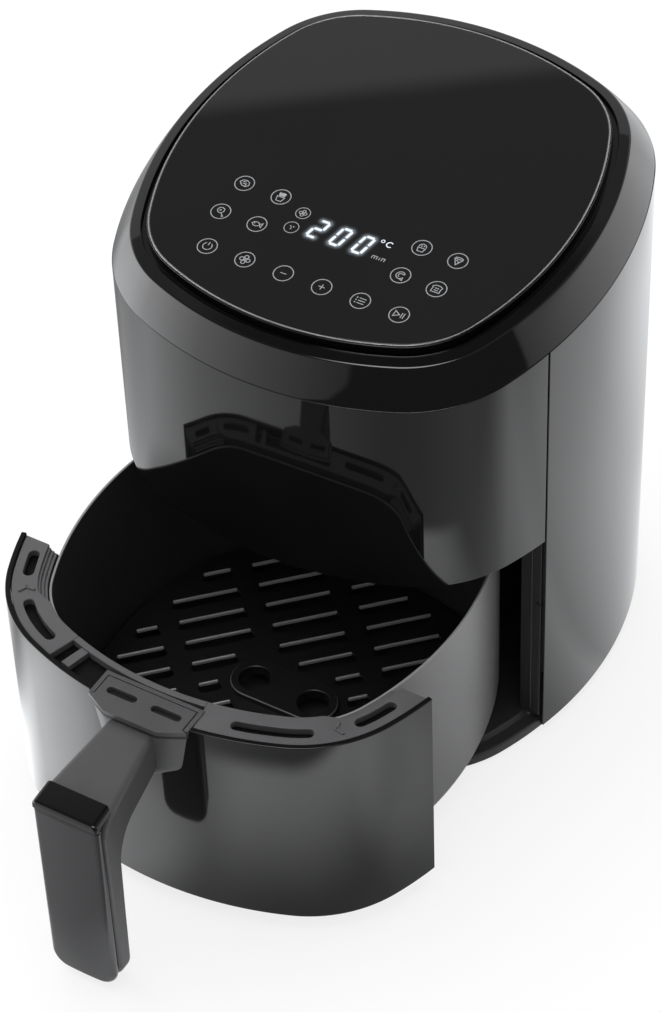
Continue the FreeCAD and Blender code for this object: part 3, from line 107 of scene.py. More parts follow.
def planPoint(angle, inset, depth=plan["halfDepth"]):
    # A point of the rounded square plan, found by the direction that its wall faces
    sideX = plan["halfWidth"] - plan["sideRadius"]
    backY = depth - plan["sideRadius"]
    reach = plan["sideRadius"] - plan["cornerRadius"]
    span = math.hypot(sideX, backY)
    rise = math.sqrt(reach ** 2 - span ** 2 / 4)
    cornerX = sideX / 2 - rise * backY / span
    cornerY = backY / 2 - rise * sideX / span
    c, s = math.cos(math.radians(angle)), math.sin(math.radians(angle))
    facing = math.atan2(abs(s), abs(c))
    if facing < math.atan2(cornerY, cornerX - sideX):
        centre, radius = (sideX, 0), plan["sideRadius"]
    elif facing < math.atan2(cornerY - backY, cornerX):
        centre, radius = (cornerX, cornerY), plan["cornerRadius"]
    else:
        centre, radius = (0, backY), plan["sideRadius"]
    x = centre[0] + (radius - inset) * abs(c)
    y = centre[1] + (radius - inset) * abs(s)
    return math.copysign(x, c), math.copysign(y, s)


def facingAt(test, low, high):
    # The wall direction at which a test of the plan changes from true to false
    for _ in range(plan["searchSteps"]):
        middle = (low + high) / 2
        if test(middle):
            low = middle
        else:
            high = middle
    return low


def facingFromHandle(polar, inset):
    # The wall direction at an angle round the middle, counted from the handle
    def before(angle):
        x, y = planPoint(angle, inset)
        return math.degrees(math.atan2(x, -y)) < polar

    return facingAt(before, *plan["handleSpan"])


def spread(first, last, step=plan["wallStep"]):
    count = max(2, round(abs(last - first) / step))
    return [first + (last - first) * i / count for i in range(count + 1)]


def topAt(angle, inset):
    return plan["topHeight"] + planPoint(angle, inset)[1] * math.tan(tilt)


wholeRing = spread(0, 360)
seamFacing = -facingAt(lambda a: planPoint(a, 0)[1] < plan["seamDepth"], 0, 45)
panelFacing = -facingAt(lambda a: planPoint(a, 0)[1] < plan["panelDepth"], 0, 45)
rearFacing = facingAt(lambda a: planPoint(a, 0)[0] > plan["rearHalf"], 45, 90)
coverFacing = facingAt(lambda a: planPoint(a, 0)[0] > plan["coverHalf"], 45, 90)
frontRing = spread(-180 - panelFacing, panelFacing)


def gridAt(columns, rows, spotAt):
    # A grid with each point where the function of its column and row puts it
    bm = bmesh.new()
    bmesh.ops.create_grid(bm, x_segments=columns - 1, y_segments=rows - 1, size=1)
    for vert in bm.verts:
        column = round((vert.co.x + 1) / 2 * (columns - 1))
        row = round((vert.co.y + 1) / 2 * (rows - 1))
        vert.co = spotAt(column, row)
    return bm


def layOut(angles, sections, depth):
    # A grid whose columns follow the plan and whose rows follow the wall's section
    def spotAt(column, row):
        inset, height = sections[column][row]
        return (*planPoint(angles[column], inset, depth), height)

    return closeUp(gridAt(len(angles), len(sections[0]), spotAt))


def fillHoles(bm):
    bmesh.ops.holes_fill(bm, edges=[e for e in bm.edges if e.is_boundary], sides=0)
    bmesh.ops.recalc_face_normals(bm, faces=bm.faces)
    return bm


def closeUp(bm):
    bmesh.ops.remove_doubles(bm, verts=bm.verts, dist=finishing["merge"])
    bmesh.ops.dissolve_degenerate(bm, edges=bm.edges, dist=finishing["merge"])
    return fillHoles(bm)


def sweepWall(angles, section, depth=plan["halfDepth"]):
    # A wall with a closed section, given as points or as a function of the wall's direction
    sectionAt = section if callable(section) else lambda angle: section
    sections = []
    for angle in angles:
        points = sectionAt(angle)
        sections.append(points + points[:1])
    return layOut(angles, sections, depth)


def sweepBowl(section, depth=plan["halfDepth"]):
    # A tub or plate: the section runs from the middle of one face to the middle of the other
    return layOut(wholeRing, [section] * len(wholeRing), depth)


def wallSection(outer, inner, low, high):
    # A plain upright wall between two insets and two heights
    return [(outer, low), (outer, high), (inner, high), (inner, low)]


def roundEdges(bm, width, segments=3, least=30, picked=None, clamp=True):
    # Bevels the edges that turn by more than the least angle, or those of them that are picked
    sharp = math.radians(least)
    edges = [e for e in bm.edges if len(e.link_faces) == 2 and e.calc_face_angle() > sharp]
    if picked:
        edges = [e for e in edges if picked(e)]
    bmesh.ops.bevel(bm, geom=edges, offset=width, offset_type="OFFSET", affect="EDGES",
                    segments=segments, profile=0.5, material=-1, clamp_overlap=clamp)
    return bm


def pushOut(bm, faces, vec):
    # Extrudes faces and gives back the points that moved
    made = bmesh.ops.extrude_face_region(bm, geom=faces)["geom"]
    moved = [v for v in made if isinstance(v, bmesh.types.BMVert)]
    bmesh.ops.translate(bm, verts=moved, vec=vec)
    return moved


def cutAt(bm, place, way, clear=False):
    # A flat cut through the whole mesh, which may clear what lies beyond it
    bmesh.ops.bisect_plane(bm, geom=bm.verts[:] + bm.edges[:] + bm.faces[:], plane_co=place,
                           plane_no=way, clear_outer=clear)


def turnRound(bm, verts, degrees, axis="Z"):
    turn = Matrix.Rotation(math.radians(degrees), 3, axis)
    bmesh.ops.rotate(bm, verts=verts, cent=(0, 0, 0), matrix=turn)


def addBlock(bm, x, y, z):
    # A box between two limits on each axis
    made = bmesh.ops.create_cube(bm, size=1)["verts"]
    bmesh.ops.scale(bm, verts=made, vec=(x[1] - x[0], y[1] - y[0], z[1] - z[0]))
    bmesh.ops.translate(bm, verts=made, vec=((x[0] + x[1]) / 2, (y[0] + y[1]) / 2, (z[0] + z[1]) / 2))
    return made


def arc(centre, radius, first, last, steps=6):
    turns = [math.radians(first + (last - first) * i / steps) for i in range(steps + 1)]
    return [(centre[0] + radius * math.cos(t), centre[1] + radius * math.sin(t)) for t in turns]


def circle(centre, radius, count):
    return arc(centre, radius, 0, 360 - 360 / count, count - 1)


def stadium(x, y, length, width, turn=0, steps=6):
    half = (length - width) / 2
    outline = arc((half, 0), width / 2, -90, 90, steps) + arc((-half, 0), width / 2, 90, 270, steps)
    c, s = math.cos(math.radians(turn)), math.sin(math.radians(turn))
    return [(x + px * c - py * s, y + px * s + py * c) for px, py in outline]


def flatPlate(outlines, low, high, bevel):
    # A level plate from closed outlines: the first is its edge, the others are holes
    curve = bpy.data.curves.new("plateOutline", "CURVE")
    curve.dimensions = "2D"
    curve.fill_mode = "BOTH"
    curve.extrude = (high - low) / 2 - bevel
    curve.bevel_depth = bevel
    curve.bevel_resolution = 2
    curve.offset = -bevel
    for outline in outlines:
        spline = curve.splines.new("POLY")
        spline.points.add(len(outline) - 1)
        for point, (x, y) in zip(spline.points, outline):
            point.co = (x, y, 0, 1)
        spline.use_cyclic_u = True
    holder = bpy.data.objects.new("plateOutline", curve)
    scene.collection.objects.link(holder)
    bpy.context.view_layer.update()
    solid = holder.evaluated_get(bpy.context.evaluated_depsgraph_get())
    mesh = bpy.data.meshes.new_from_object(solid)
    bm = bmesh.new()
    bm.from_mesh(mesh)
    bpy.data.objects.remove(holder)
    bpy.data.curves.remove(curve)
    bpy.data.meshes.remove(mesh)
    bmesh.ops.remove_doubles(bm, verts=bm.verts, dist=finishing["merge"])
    bmesh.ops.translate(bm, verts=bm.verts, vec=(0, 0, (low + high) / 2))
    bmesh.ops.recalc_face_normals(bm, faces=bm.faces)
    return bm


def joinIn(bm, other):
    # Adds another bmesh to this one
    mesh = bpy.data.meshes.new("joined")
    other.to_mesh(mesh)
    other.free()
    bm.from_mesh(mesh)
    bpy.data.meshes.remove(mesh)
    return bm


def cutEnds(bm, y):
    # Cuts a drawer piece flat across, so that it stops short of the opening's frame when shut
    cutAt(bm, (0, y, 0), (0, 1, 0), True)
    return fillHoles(bm)


def finishPiece(bm, name, body, slot, nodes=(), place="body", material=None, others=(), weighted=True):
    # Puts the mesh in its place in metres, parents it to the body it rides on, and hides the CAD nodes
    # it stands for
    if place == "top":
        turnRound(bm, bm.verts, plan["tilt"], "X")
        bmesh.ops.translate(bm, verts=bm.verts, vec=(0, 0, plan["topHeight"]))
    if place == "drawer":
        bmesh.ops.translate(bm, verts=bm.verts, vec=(0, -plan["drawerPull"], 0))
    bmesh.ops.scale(bm, verts=bm.verts, vec=[finishing["millimetre"]] * 3)
    for face in bm.faces:
        face.smooth = True
    mesh = bpy.data.meshes.new(name)
    bm.to_mesh(mesh)
    bm.free()
    for surface in (material or finishes[slot], *others):
        mesh.materials.append(surface)
    mesh.set_sharp_from_angle(angle=math.radians(finishing["sharpAngle"]))
    piece = bpy.data.objects.new(name, mesh)
    scene.collection.objects.link(piece)
    if weighted:
        normals = piece.modifiers.new("evenNormals", "WEIGHTED_NORMAL")
        normals.keep_sharp = True
        normals.weight = finishing["normalWeight"]
    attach(piece, body)
    if nodes:
        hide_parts(*nodes)


# Shared surface effects
def newGroup(name, inputs, outputs):
    group = bpy.data.node_groups.new(name, "ShaderNodeTree")
    kind = "NodeSocketFloat"
    for label, value in inputs:
        group.interface.new_socket(label, in_out="INPUT", socket_type=kind).default_value = value
    for label in outputs:
        group.interface.new_socket(label, in_out="OUTPUT", socket_type=kind)
    return group, group.nodes.new("NodeGroupInput"), group.nodes.new("NodeGroupOutput")


def addNode(tree, kind, **values):
    node = tree.nodes.new("ShaderNode" + kind)
    for label, value in values.items():
        setattr(node, label, value)
    return node


def rangeNode(tree, source, low, high, toLow=0, toHigh=1, **kind):
    node = addNode(tree, "MapRange", **kind)
    tree.links.new(source, node.inputs["Value"])
    limits = {"From Min": low, "From Max": high, "To Min": toLow, "To Max": toHigh}
    for label, value in limits.items():
        node.inputs[label].default_value = value
    return node.outputs["Result"]


def noiseNode(tree, detail):
    node = addNode(tree, "TexNoise")
    node.inputs["Detail"].default_value = detail
    return node


softHazeLook = {"scale": 14, "speckScale": 900, "detail": 5, "clouds": (0.35, 0.75),
                "specks": (0.05, 0.13)}
mouldGrainLook = {"scale": 1500, "toneScale": 30, "detail": 2, "toneDetail": 4, "tone": (0.3, 0.7)}
brushLook = {"along": 8, "across": 900, "detail": 3, "stainScale": 22, "stainDetail": 6,
             "stains": (0.4, 0.72)}


def makeHaze():
    # Broad faint cloudiness and fine specks, as on wiped gloss plastic
    look = softHazeLook
    inputs = [("Scale", look["scale"]), ("Speck Scale", look["speckScale"])]
    group, fromMaterial, toMaterial = newGroup("softHaze", inputs, ["Haze", "Specks"])
    place = addNode(group, "TexCoord").outputs["Object"]
    broad = noiseNode(group, look["detail"])
    fine = addNode(group, "TexVoronoi")
    for texture, label in ((broad, "Scale"), (fine, "Speck Scale")):
        group.links.new(place, texture.inputs["Vector"])
        group.links.new(fromMaterial.outputs[label], texture.inputs["Scale"])
    group.links.new(rangeNode(group, broad.outputs["Fac"], *look["clouds"]), toMaterial.inputs["Haze"])
    specks = rangeNode(group, fine.outputs["Distance"], *look["specks"], 1, 0)
    group.links.new(specks, toMaterial.inputs["Specks"])
    return group


def makeGrain():
    # The fine even pebble of moulded plastic
    look = mouldGrainLook
    inputs = [("Scale", look["scale"]), ("Tone Scale", look["toneScale"])]
    group, fromMaterial, toMaterial = newGroup("mouldGrain", inputs, ["Grain", "Tone"])
    place = addNode(group, "TexCoord").outputs["Object"]
    fine = noiseNode(group, look["detail"])
    tone = noiseNode(group, look["toneDetail"])
    for texture, label in ((fine, "Scale"), (tone, "Tone Scale")):
        group.links.new(place, texture.inputs["Vector"])
        group.links.new(fromMaterial.outputs[label], texture.inputs["Scale"])
    group.links.new(fine.outputs["Fac"], toMaterial.inputs["Grain"])
    group.links.new(rangeNode(group, tone.outputs["Fac"], *look["tone"]), toMaterial.inputs["Tone"])
    return group


def makeBrush():
    # Long fine lines of rolled or brushed sheet
    look = brushLook
    inputs = [("Along", look["along"]), ("Across", look["across"])]
    group, fromMaterial, toMaterial = newGroup("brushLines", inputs, ["Lines", "Stains"])
    place = addNode(group, "TexCoord").outputs["Object"]
    stretch = addNode(group, "CombineXYZ")
    for axis, label in (("X", "Along"), ("Y", "Along"), ("Z", "Across")):
        group.links.new(fromMaterial.outputs[label], stretch.inputs[axis])
    scaled = addNode(group, "VectorMath", operation="MULTIPLY")
    group.links.new(place, scaled.inputs[0])
    group.links.new(stretch.outputs[0], scaled.inputs[1])
    lines = noiseNode(group, look["detail"])
    lines.inputs["Scale"].default_value = 1
    group.links.new(scaled.outputs[0], lines.inputs["Vector"])
    stains = noiseNode(group, look["stainDetail"])
    stains.inputs["Scale"].default_value = look["stainScale"]
    group.links.new(place, stains.inputs["Vector"])
    group.links.new(lines.outputs["Fac"], toMaterial.inputs["Lines"])
    group.links.new(rangeNode(group, stains.outputs["Fac"], *look["stains"]),
                    toMaterial.inputs["Stains"])
    return group


softHaze = makeHaze()
mouldGrain = makeGrain()
brushLines = makeBrush()

# How the effects are used: the range of grain, bumps as strength and height in metres, scales, print,
# and how much the painted shade reflects
surfaceLook = {
    "grain": (0.3, 0.7),
    "mouldHeight": 0.0002,
    "sheetBump": (0.08, 0.0001),
    "coatBump": (0.12, 0.00015),
    "coatSpecks": 700,
    "coatGrain": 1100,
    "printGrain": 900,
    "printTone": 200,
    "printFade": 0.85,
    "printRough": 0.4,
    "paintedShadeSpecular": 0.15,
}


def newMaterial(name, metallic=0, ior=1.5):
    material = bpy.data.materials.new(name)
    material.use_nodes = True
    shader = material.node_tree.nodes["Principled BSDF"]
    shader.inputs["Metallic"].default_value = metallic
    shader.inputs["IOR"].default_value = ior
    return material, material.node_tree, shader


def placeGroup(tree, group, **values):
    node = addNode(tree, "Group", node_tree=group)
    for label, value in values.items():
        node.inputs[label.replace("_", " ")].default_value = value
    return node


def mixColour(tree, mask, first, second):
    mix = addNode(tree, "Mix", data_type="RGBA")
    tree.links.new(mask, mix.inputs["Factor"])
    for label, colour in (("A", first), ("B", second)):
        [s for s in mix.inputs if s.name == label and s.type == "RGBA"][0].default_value = (*colour, 1)
    return [s for s in mix.outputs if s.type == "RGBA"][0]


def addBump(tree, shader, height, strength, distance):
    bump = addNode(tree, "Bump")
    bump.inputs["Strength"].default_value = strength
    bump.inputs["Distance"].default_value = distance
    tree.links.new(height, bump.inputs["Height"])
    tree.links.new(bump.outputs["Normal"], shader.inputs["Normal"])


def glossPlastic(name, colour, haze, rough=(0.03, 0.07), scale=14, lean=0):
    material, tree, shader = newMaterial(name)
    if lean:
        # The slight draft of a moulded wall, which turns its mirror image a little upward
        up = addNode(tree, "VectorMath", operation="ADD")
        up.inputs[1].default_value = (0, 0, lean)
        tree.links.new(addNode(tree, "NewGeometry").outputs["Normal"], up.inputs[0])
        even = addNode(tree, "VectorMath", operation="NORMALIZE")
        tree.links.new(up.outputs[0], even.inputs[0])
        tree.links.new(even.outputs[0], shader.inputs["Normal"])
    effect = placeGroup(tree, softHaze, Scale=scale)
    tree.links.new(mixColour(tree, effect.outputs["Haze"], colour, haze), shader.inputs["Base Color"])
    tree.links.new(rangeNode(tree, effect.outputs["Haze"], 0, 1, *rough), shader.inputs["Roughness"])
    return material


def mattePlastic(name, colour, lighter, rough=(0.42, 0.56), scale=1500, strength=0.25):
    material, tree, shader = newMaterial(name)
    effect = placeGroup(tree, mouldGrain, Scale=scale)
    tree.links.new(mixColour(tree, effect.outputs["Tone"], colour, lighter), shader.inputs["Base Color"])
    roughness = rangeNode(tree, effect.outputs["Grain"], *surfaceLook["grain"], *rough)
    tree.links.new(roughness, shader.inputs["Roughness"])
    addBump(tree, shader, effect.outputs["Grain"], strength, surfaceLook["mouldHeight"])
    return material


def sheetMetal(name, colour, stained, rough=(0.22, 0.42), along=8, across=900):
    material, tree, shader = newMaterial(name, metallic=1)
    effect = placeGroup(tree, brushLines, Along=along, Across=across)
    tree.links.new(mixColour(tree, effect.outputs["Stains"], colour, stained),
                   shader.inputs["Base Color"])
    roughness = rangeNode(tree, effect.outputs["Lines"], *surfaceLook["grain"], *rough)
    tree.links.new(roughness, shader.inputs["Roughness"])
    addBump(tree, shader, effect.outputs["Lines"], *surfaceLook["sheetBump"])
    return material


def nonStick(name, colour, speck, rough=(0.32, 0.46)):
    material, tree, shader = newMaterial(name)
    specks = placeGroup(tree, softHaze, Speck_Scale=surfaceLook["coatSpecks"])
    grain = placeGroup(tree, mouldGrain, Scale=surfaceLook["coatGrain"])
    tree.links.new(mixColour(tree, specks.outputs["Specks"], colour, speck), shader.inputs["Base Color"])
    roughness = rangeNode(tree, grain.outputs["Grain"], *surfaceLook["grain"], *rough)
    tree.links.new(roughness, shader.inputs["Roughness"])
    addBump(tree, shader, grain.outputs["Grain"], *surfaceLook["coatBump"])
    return material


def litPrint(name, colour, glow, strength):
    material, tree, shader = newMaterial(name)
    effect = placeGroup(tree, mouldGrain, Scale=surfaceLook["printGrain"],
                        Tone_Scale=surfaceLook["printTone"])
    for label, shade in (("Base Color", colour), ("Emission Color", glow)):
        faded = [c * surfaceLook["printFade"] for c in shade]
        tree.links.new(mixColour(tree, effect.outputs["Tone"], shade, faded), shader.inputs[label])
    shader.inputs["Emission Strength"].default_value = strength
    shader.inputs["Roughness"].default_value = surfaceLook["printRough"]
    return material


# Two colours that the effect mixes, then the range of roughness and the scale of the effect
shellColours = ((0.0055, 0.0056, 0.006), (0.008, 0.0081, 0.0086))
glassLook = ((0.0022, 0.0022, 0.0025), (0.0034, 0.0034, 0.0038), (0.012, 0.03), 9)
finishes = {
    "gloss_shell": glossPlastic("shellGloss", *shellColours),
    "piano_black": glossPlastic("pianoBlack", (0.003, 0.003, 0.0034), (0.005, 0.005, 0.0054),
                                (0.02, 0.05)),
    "touch_glass": glossPlastic("touchGlass", *glassLook),
    "pale_trim": sheetMetal("paleTrim", (0.6, 0.6, 0.62), (0.5, 0.5, 0.52)),
    "black_plastic": mattePlastic("blackPlastic", (0.012, 0.012, 0.013), (0.017, 0.017, 0.018)),
    "grey_plastic": mattePlastic("greyPlastic", (0.095, 0.095, 0.099), (0.112, 0.112, 0.116)),
    "handle_plastic": mattePlastic("handlePlastic", (0.066, 0.066, 0.069), (0.078, 0.078, 0.081),
                                   (0.38, 0.52)),
    "handle_gloss": glossPlastic("handleGloss", (0.016, 0.016, 0.018), (0.021, 0.021, 0.023),
                                 (0.14, 0.22), 30),
    "nonstick": nonStick("nonStick", (0.016, 0.016, 0.0165), (0.035, 0.035, 0.036)),
    "bare_steel": sheetMetal("bareSteel", (0.52, 0.52, 0.53), (0.4, 0.39, 0.38)),
    "heater_sheath": sheetMetal("heaterSheath", (0.17, 0.16, 0.15), (0.1, 0.085, 0.07),
                                (0.4, 0.6), 60, 60),
    "fan_metal": sheetMetal("fanMetal", (0.6, 0.6, 0.61), (0.5, 0.5, 0.5), (0.3, 0.5)),
    "motor_iron": sheetMetal("motorIron", (0.14, 0.14, 0.145), (0.09, 0.085, 0.08), (0.4, 0.6), 5, 1800),
    "bush_brass": sheetMetal("bushBrass", (0.58, 0.42, 0.17), (0.42, 0.28, 0.1)),
    "circuit_board": mattePlastic("circuitBoard", (0.012, 0.075, 0.03), (0.02, 0.12, 0.05),
                                  (0.3, 0.4), 260),
    "component_black": mattePlastic("componentBlack", (0.014, 0.014, 0.015), (0.022, 0.022, 0.023)),
    "relay_blue": mattePlastic("relayBlue", (0.025, 0.07, 0.2), (0.035, 0.09, 0.24), (0.3, 0.42)),
    "display_window": glossPlastic("displayWindow", (0.012, 0.012, 0.013), (0.02, 0.02, 0.021)),
    "foot_rubber": mattePlastic("footRubber", (0.012, 0.012, 0.012), (0.018, 0.018, 0.018),
                                (0.65, 0.8), 700),
}
panOutside = nonStick("panOutside", (0.19, 0.19, 0.194), (0.25, 0.25, 0.254), (0.34, 0.48))
panInside = nonStick("panInside", (0.055, 0.055, 0.056), (0.085, 0.085, 0.086), (0.34, 0.46))
# The lips' pale colour is a painted highlight along the crisper's louvre lips
highlightLipEdge = nonStick("highlightLipEdge", (0.72, 0.72, 0.725), (0.8, 0.8, 0.805), (0.26, 0.38))
# A pale edge colour: on the pan's rim it is wear with a painted highlight, round the crisper's boss a
# painted highlight outline
wearAndHighlightEdge = nonStick("wearAndHighlightEdge", (0.3, 0.3, 0.304), (0.4, 0.4, 0.404), (0.3, 0.42))
panelGloss = glossPlastic("panelGloss", *shellColours, lean=0.03)
# A matte black that reflects little: painted shade on the drawer skin's top edge and on the tray under
# the rim's slots
paintedShade = mattePlastic("paintedShade", (0.003, 0.003, 0.0032), (0.005, 0.005, 0.0052))
paintedShadeShader = paintedShade.node_tree.nodes["Principled BSDF"]
paintedShadeShader.inputs["Specular IOR Level"].default_value = surfaceLook["paintedShadeSpecular"]
printedMark = litPrint("printedMark", (0.34, 0.345, 0.355), (0.5, 0.52, 0.55), 0.12)
litDigit = litPrint("litDigit", (0.4, 0.42, 0.45), (0.74, 0.82, 0.92), 0.8)
basePlastic = mattePlastic("basePlastic", (0.026, 0.026, 0.027), (0.034, 0.034, 0.035))
print("finishes ready:", len(bpy.data.materials))

# Every CAD node gets its finish; the pieces below then stand for the ones that show
for part in frame["record"]["subparts"]:
    node = frame["nodes"][part["node"]]
    for held in node.material_slots:
        held.material = finishes[part["material_slot"]]
for held in frame["nodes"]["switch_plunger"].material_slots:
    held.material = finishes["black_plastic"]

# Casing
casing = {"wall": 2.6, "foot": 6, "edge": 0.45, "panelLow": 151}


def casingSection(low):
    wall = casing["wall"]
    return lambda a: [(0, low), (0, topAt(a, 0)), (wall, topAt(a, wall)), (wall, low)]


def makeCasing():
    for name, first, last in (("side_shell_right", seamFacing, rearFacing),
                              ("side_shell_left", 180 - rearFacing, 180 - seamFacing)):
        bm = sweepWall(spread(first, last), casingSection(casing["foot"]))
        roundEdges(bm, casing["edge"])
        finishPiece(bm, name + "_skin", "body", "gloss_shell", [name])
    bm = sweepWall(frontRing, casingSection(casing["panelLow"]))
    roundEdges(bm, casing["edge"])
    finishPiece(bm, "front_upper_panel_skin", "body", "gloss_shell", ["front_upper_panel"],
                material=panelGloss)


makeCasing()

rearCover = {"wall": 2.6, "foot": 6, "edge": 0.6, "ventHalf": 45, "ventLow": 205, "ventHigh": 265}


def makeRearCover():
    wall = rearCover["wall"]
    levels = [rearCover["foot"], rearCover["ventLow"], rearCover["ventHigh"]]
    ventFacing = facingAt(lambda a: planPoint(a, 0)[0] > rearCover["ventHalf"], 45, 90)
    middle = spread(ventFacing, 180 - ventFacing)
    angles = [coverFacing] + middle + [180 - coverFacing]

    def section(a):
        outside = [(0, z) for z in levels] + [(0, topAt(a, 0))]
        return outside + [(wall, topAt(a, wall))] + [(wall, z) for z in reversed(levels)]

    bm = sweepWall(angles, section)
    window = []
    for face in bm.faces:
        spot = face.calc_center_median()
        if abs(spot.x) < rearCover["ventHalf"] and levels[1] < spot.z < levels[2]:
            window.append(face)
    bmesh.ops.delete(bm, geom=window, context="FACES")
    bmesh.ops.bridge_loops(bm, edges=[e for e in bm.edges if e.is_boundary])
    bmesh.ops.recalc_face_normals(bm, faces=bm.faces)
    roundEdges(bm, rearCover["edge"])
    finishPiece(bm, "rear_cover_skin", "body", "gloss_shell", ["rear_cover"])


makeRearCover()

ventPlate = {"half": 47, "slotHalf": 39, "low": 203, "high": 267, "first": 211, "slot": 4, "pitch": 8,
             "count": 6, "back": 128.2, "thick": 3, "rise": 3.5, "edge": 0.6}


def makeVentPlate():
    half, slotHalf, first = ventPlate["half"], ventPlate["slotHalf"], ventPlate["first"]
    columns = [-half, -slotHalf, 0, slotHalf, half]
    rows = [ventPlate["low"]]
    for i in range(ventPlate["count"]):
        low = first + i * ventPlate["pitch"]
        rows += [low, low + ventPlate["slot"]]
    rows.append(ventPlate["high"])
    bm = gridAt(len(columns), len(rows), lambda c, r: (columns[c], ventPlate["back"], rows[r]))
    slots = []
    for face in bm.faces:
        spot = face.calc_center_median()
        row, offset = divmod(spot.z - first, ventPlate["pitch"])
        if abs(spot.x) < slotHalf and 0 <= row < ventPlate["count"] and offset < ventPlate["slot"]:
            slots.append(face)
    bmesh.ops.delete(bm, geom=slots, context="FACES")
    inner = pushOut(bm, bm.faces[:], (0, -ventPlate["thick"], 0))
    near = finishing["near"]
    slats = [v for v in inner if abs(v.co.x) < slotHalf + near
             and rows[0] + near < v.co.z < rows[-1] - near]
    bmesh.ops.translate(bm, verts=slats, vec=(0, 0, ventPlate["rise"]))
    bmesh.ops.recalc_face_normals(bm, faces=bm.faces)
    roundEdges(bm, ventPlate["edge"])
    finishPiece(bm, "rear_vent_louvres", "body", "black_plastic", ["rear_vent_grille"])


makeVentPlate()

gland = {
    "height": 42,
    "profile": [(4, 128.5), (9, 128.5), (9, 136.9), (12, 136.9), (12, 138.6), (10.4, 139.4),
                (10.4, 140.4), (9.4, 141.5), (5, 141.5), (4, 140.3)],
    "steps": 48,
    "edge": 0.35,
}


def makeGland():
    bm = bmesh.new()
    ring = [bm.verts.new((radius, y, gland["height"])) for radius, y in gland["profile"]]
    edges = [bm.edges.new((ring[i], ring[(i + 1) % len(ring)])) for i in range(len(ring))]
    bmesh.ops.spin(bm, geom=ring + edges, cent=(0, 0, gland["height"]), axis=(0, 1, 0), angle=math.tau,
                   steps=gland["steps"], use_merge=True)
    bmesh.ops.remove_doubles(bm, verts=bm.verts, dist=finishing["merge"])
    bmesh.ops.recalc_face_normals(bm, faces=bm.faces)
    roundEdges(bm, gland["edge"], segments=2, least=40)
    finishPiece(bm, "cord_gland_ring", "body", "black_plastic", ["cord_gland"])


makeGland()
print("casing done")

# Plinth, feet, rails and the frame of the opening
plinth = {
    "section": [(6, 6), (6, 2.5), (3, 2.5), (3, 8.2), (3.8, 9), (10.6, 9), (11.2, 9.8), (12, 12)],
    "edge": 0.5,
    "footSpread": 80,
    "footRadius": 11,
    "footTaper": 1.2,
    "footTop": 6,
    "footSides": 40,
    "footEdge": 1,
    "railMiddle": 70,
    "railHalf": 4,
    "railReach": 95,
    "railHeights": (12, 13.7),
    "railEdge": 0.7,
}


def makePlinth():
    bm = sweepBowl(plinth["section"])
    roundEdges(bm, plinth["edge"], segments=2)
    finishPiece(bm, "base_plinth", "body", "black_plastic", ["base_pan"], material=basePlastic)
    bm = bmesh.new()
    away, radius, top = plinth["footSpread"], plinth["footRadius"], plinth["footTop"]
    for x in (-away, away):
        for y in (-away, away):
            foot = bmesh.ops.create_cone(bm, cap_ends=True, segments=plinth["footSides"], depth=top,
                                         radius1=radius - plinth["footTaper"], radius2=radius)["verts"]
            bmesh.ops.translate(bm, verts=foot, vec=(x, y, top / 2))
    roundEdges(bm, plinth["footEdge"])
    finishPiece(bm, "rubber_feet", "body", "foot_rubber", ["feet"])
    bm = bmesh.new()
    half, reach = plinth["railHalf"], plinth["railReach"]
    for middle in (-plinth["railMiddle"], plinth["railMiddle"]):
        addBlock(bm, (middle - half, middle + half), (-reach, reach), plinth["railHeights"])
    roundEdges(bm, plinth["railEdge"])
    finishPiece(bm, "drawer_runner_strips", "body", "black_plastic", ["drawer_rails"])


makePlinth()

opening = {"inner": 112.6, "wallInset": 2.9, "front": -53.7, "back": -47.7, "low": 12, "high": 153,
           "edge": 1, "leastEdge": 5, "beadHalf": 1, "beadRise": 0.25, "beadSunk": 1, "beadEnds": (4, 3)}
collar = {"inset": 18.7, "high": 156, "edge": 0.8}


def makeOpening():
    bm = bmesh.new()
    outer = planPoint(seamFacing, opening["wallInset"])[0]
    for side in (-1, 1):
        across = sorted((side * opening["inner"], side * outer))
        addBlock(bm, across, (opening["front"], opening["back"]), (opening["low"], opening["high"]))
        middle, half = side * (opening["inner"] + outer) / 2, opening["beadHalf"]
        addBlock(bm, (middle - half, middle + half),
                 (opening["front"] - opening["beadRise"], opening["front"] + opening["beadSunk"]),
                 (opening["low"] + opening["beadEnds"][0], opening["high"] - opening["beadEnds"][1]))
    roundEdges(bm, opening["edge"], picked=lambda e: e.calc_length() > opening["leastEdge"])
    finishPiece(bm, "opening_posts", "body", "black_plastic", ["opening_jambs"])
    wallSpan, heights = (opening["wallInset"], collar["inset"]), (opening["high"], collar["high"])
    bm = sweepWall(wholeRing, wallSection(*wallSpan, *heights))
    roundEdges(bm, collar["edge"])
    finishPiece(bm, "chamber_collar_ring", "body", "black_plastic", ["chamber_collar"])


makeOpening()

liner = {"inset": 19, "wall": 1, "floor": 12, "high": 222, "cheekBack": -26.7}


def makeLiner():
    outer, inner = liner["inset"], liner["inset"] + liner["wall"]
    bm = sweepWall(wholeRing, wallSection(outer, inner, collar["high"], liner["high"]))
    turn = facingAt(lambda a: planPoint(a, outer)[1] < -liner["cheekBack"], 0, 60)
    lower = wallSection(outer, inner, liner["floor"], collar["high"])
    joinIn(bm, sweepWall(spread(-turn, 180 + turn), lower))
    for side in (-1, 1):
        across = sorted((side * opening["inner"], side * (opening["inner"] + liner["wall"])))
        addBlock(bm, across, (opening["back"], liner["cheekBack"]), (liner["floor"], opening["high"]))
    finishPiece(bm, "chamber_liner_walls", "body", "bare_steel", ["cooking_liner"])


makeLiner()
print("chamber done")

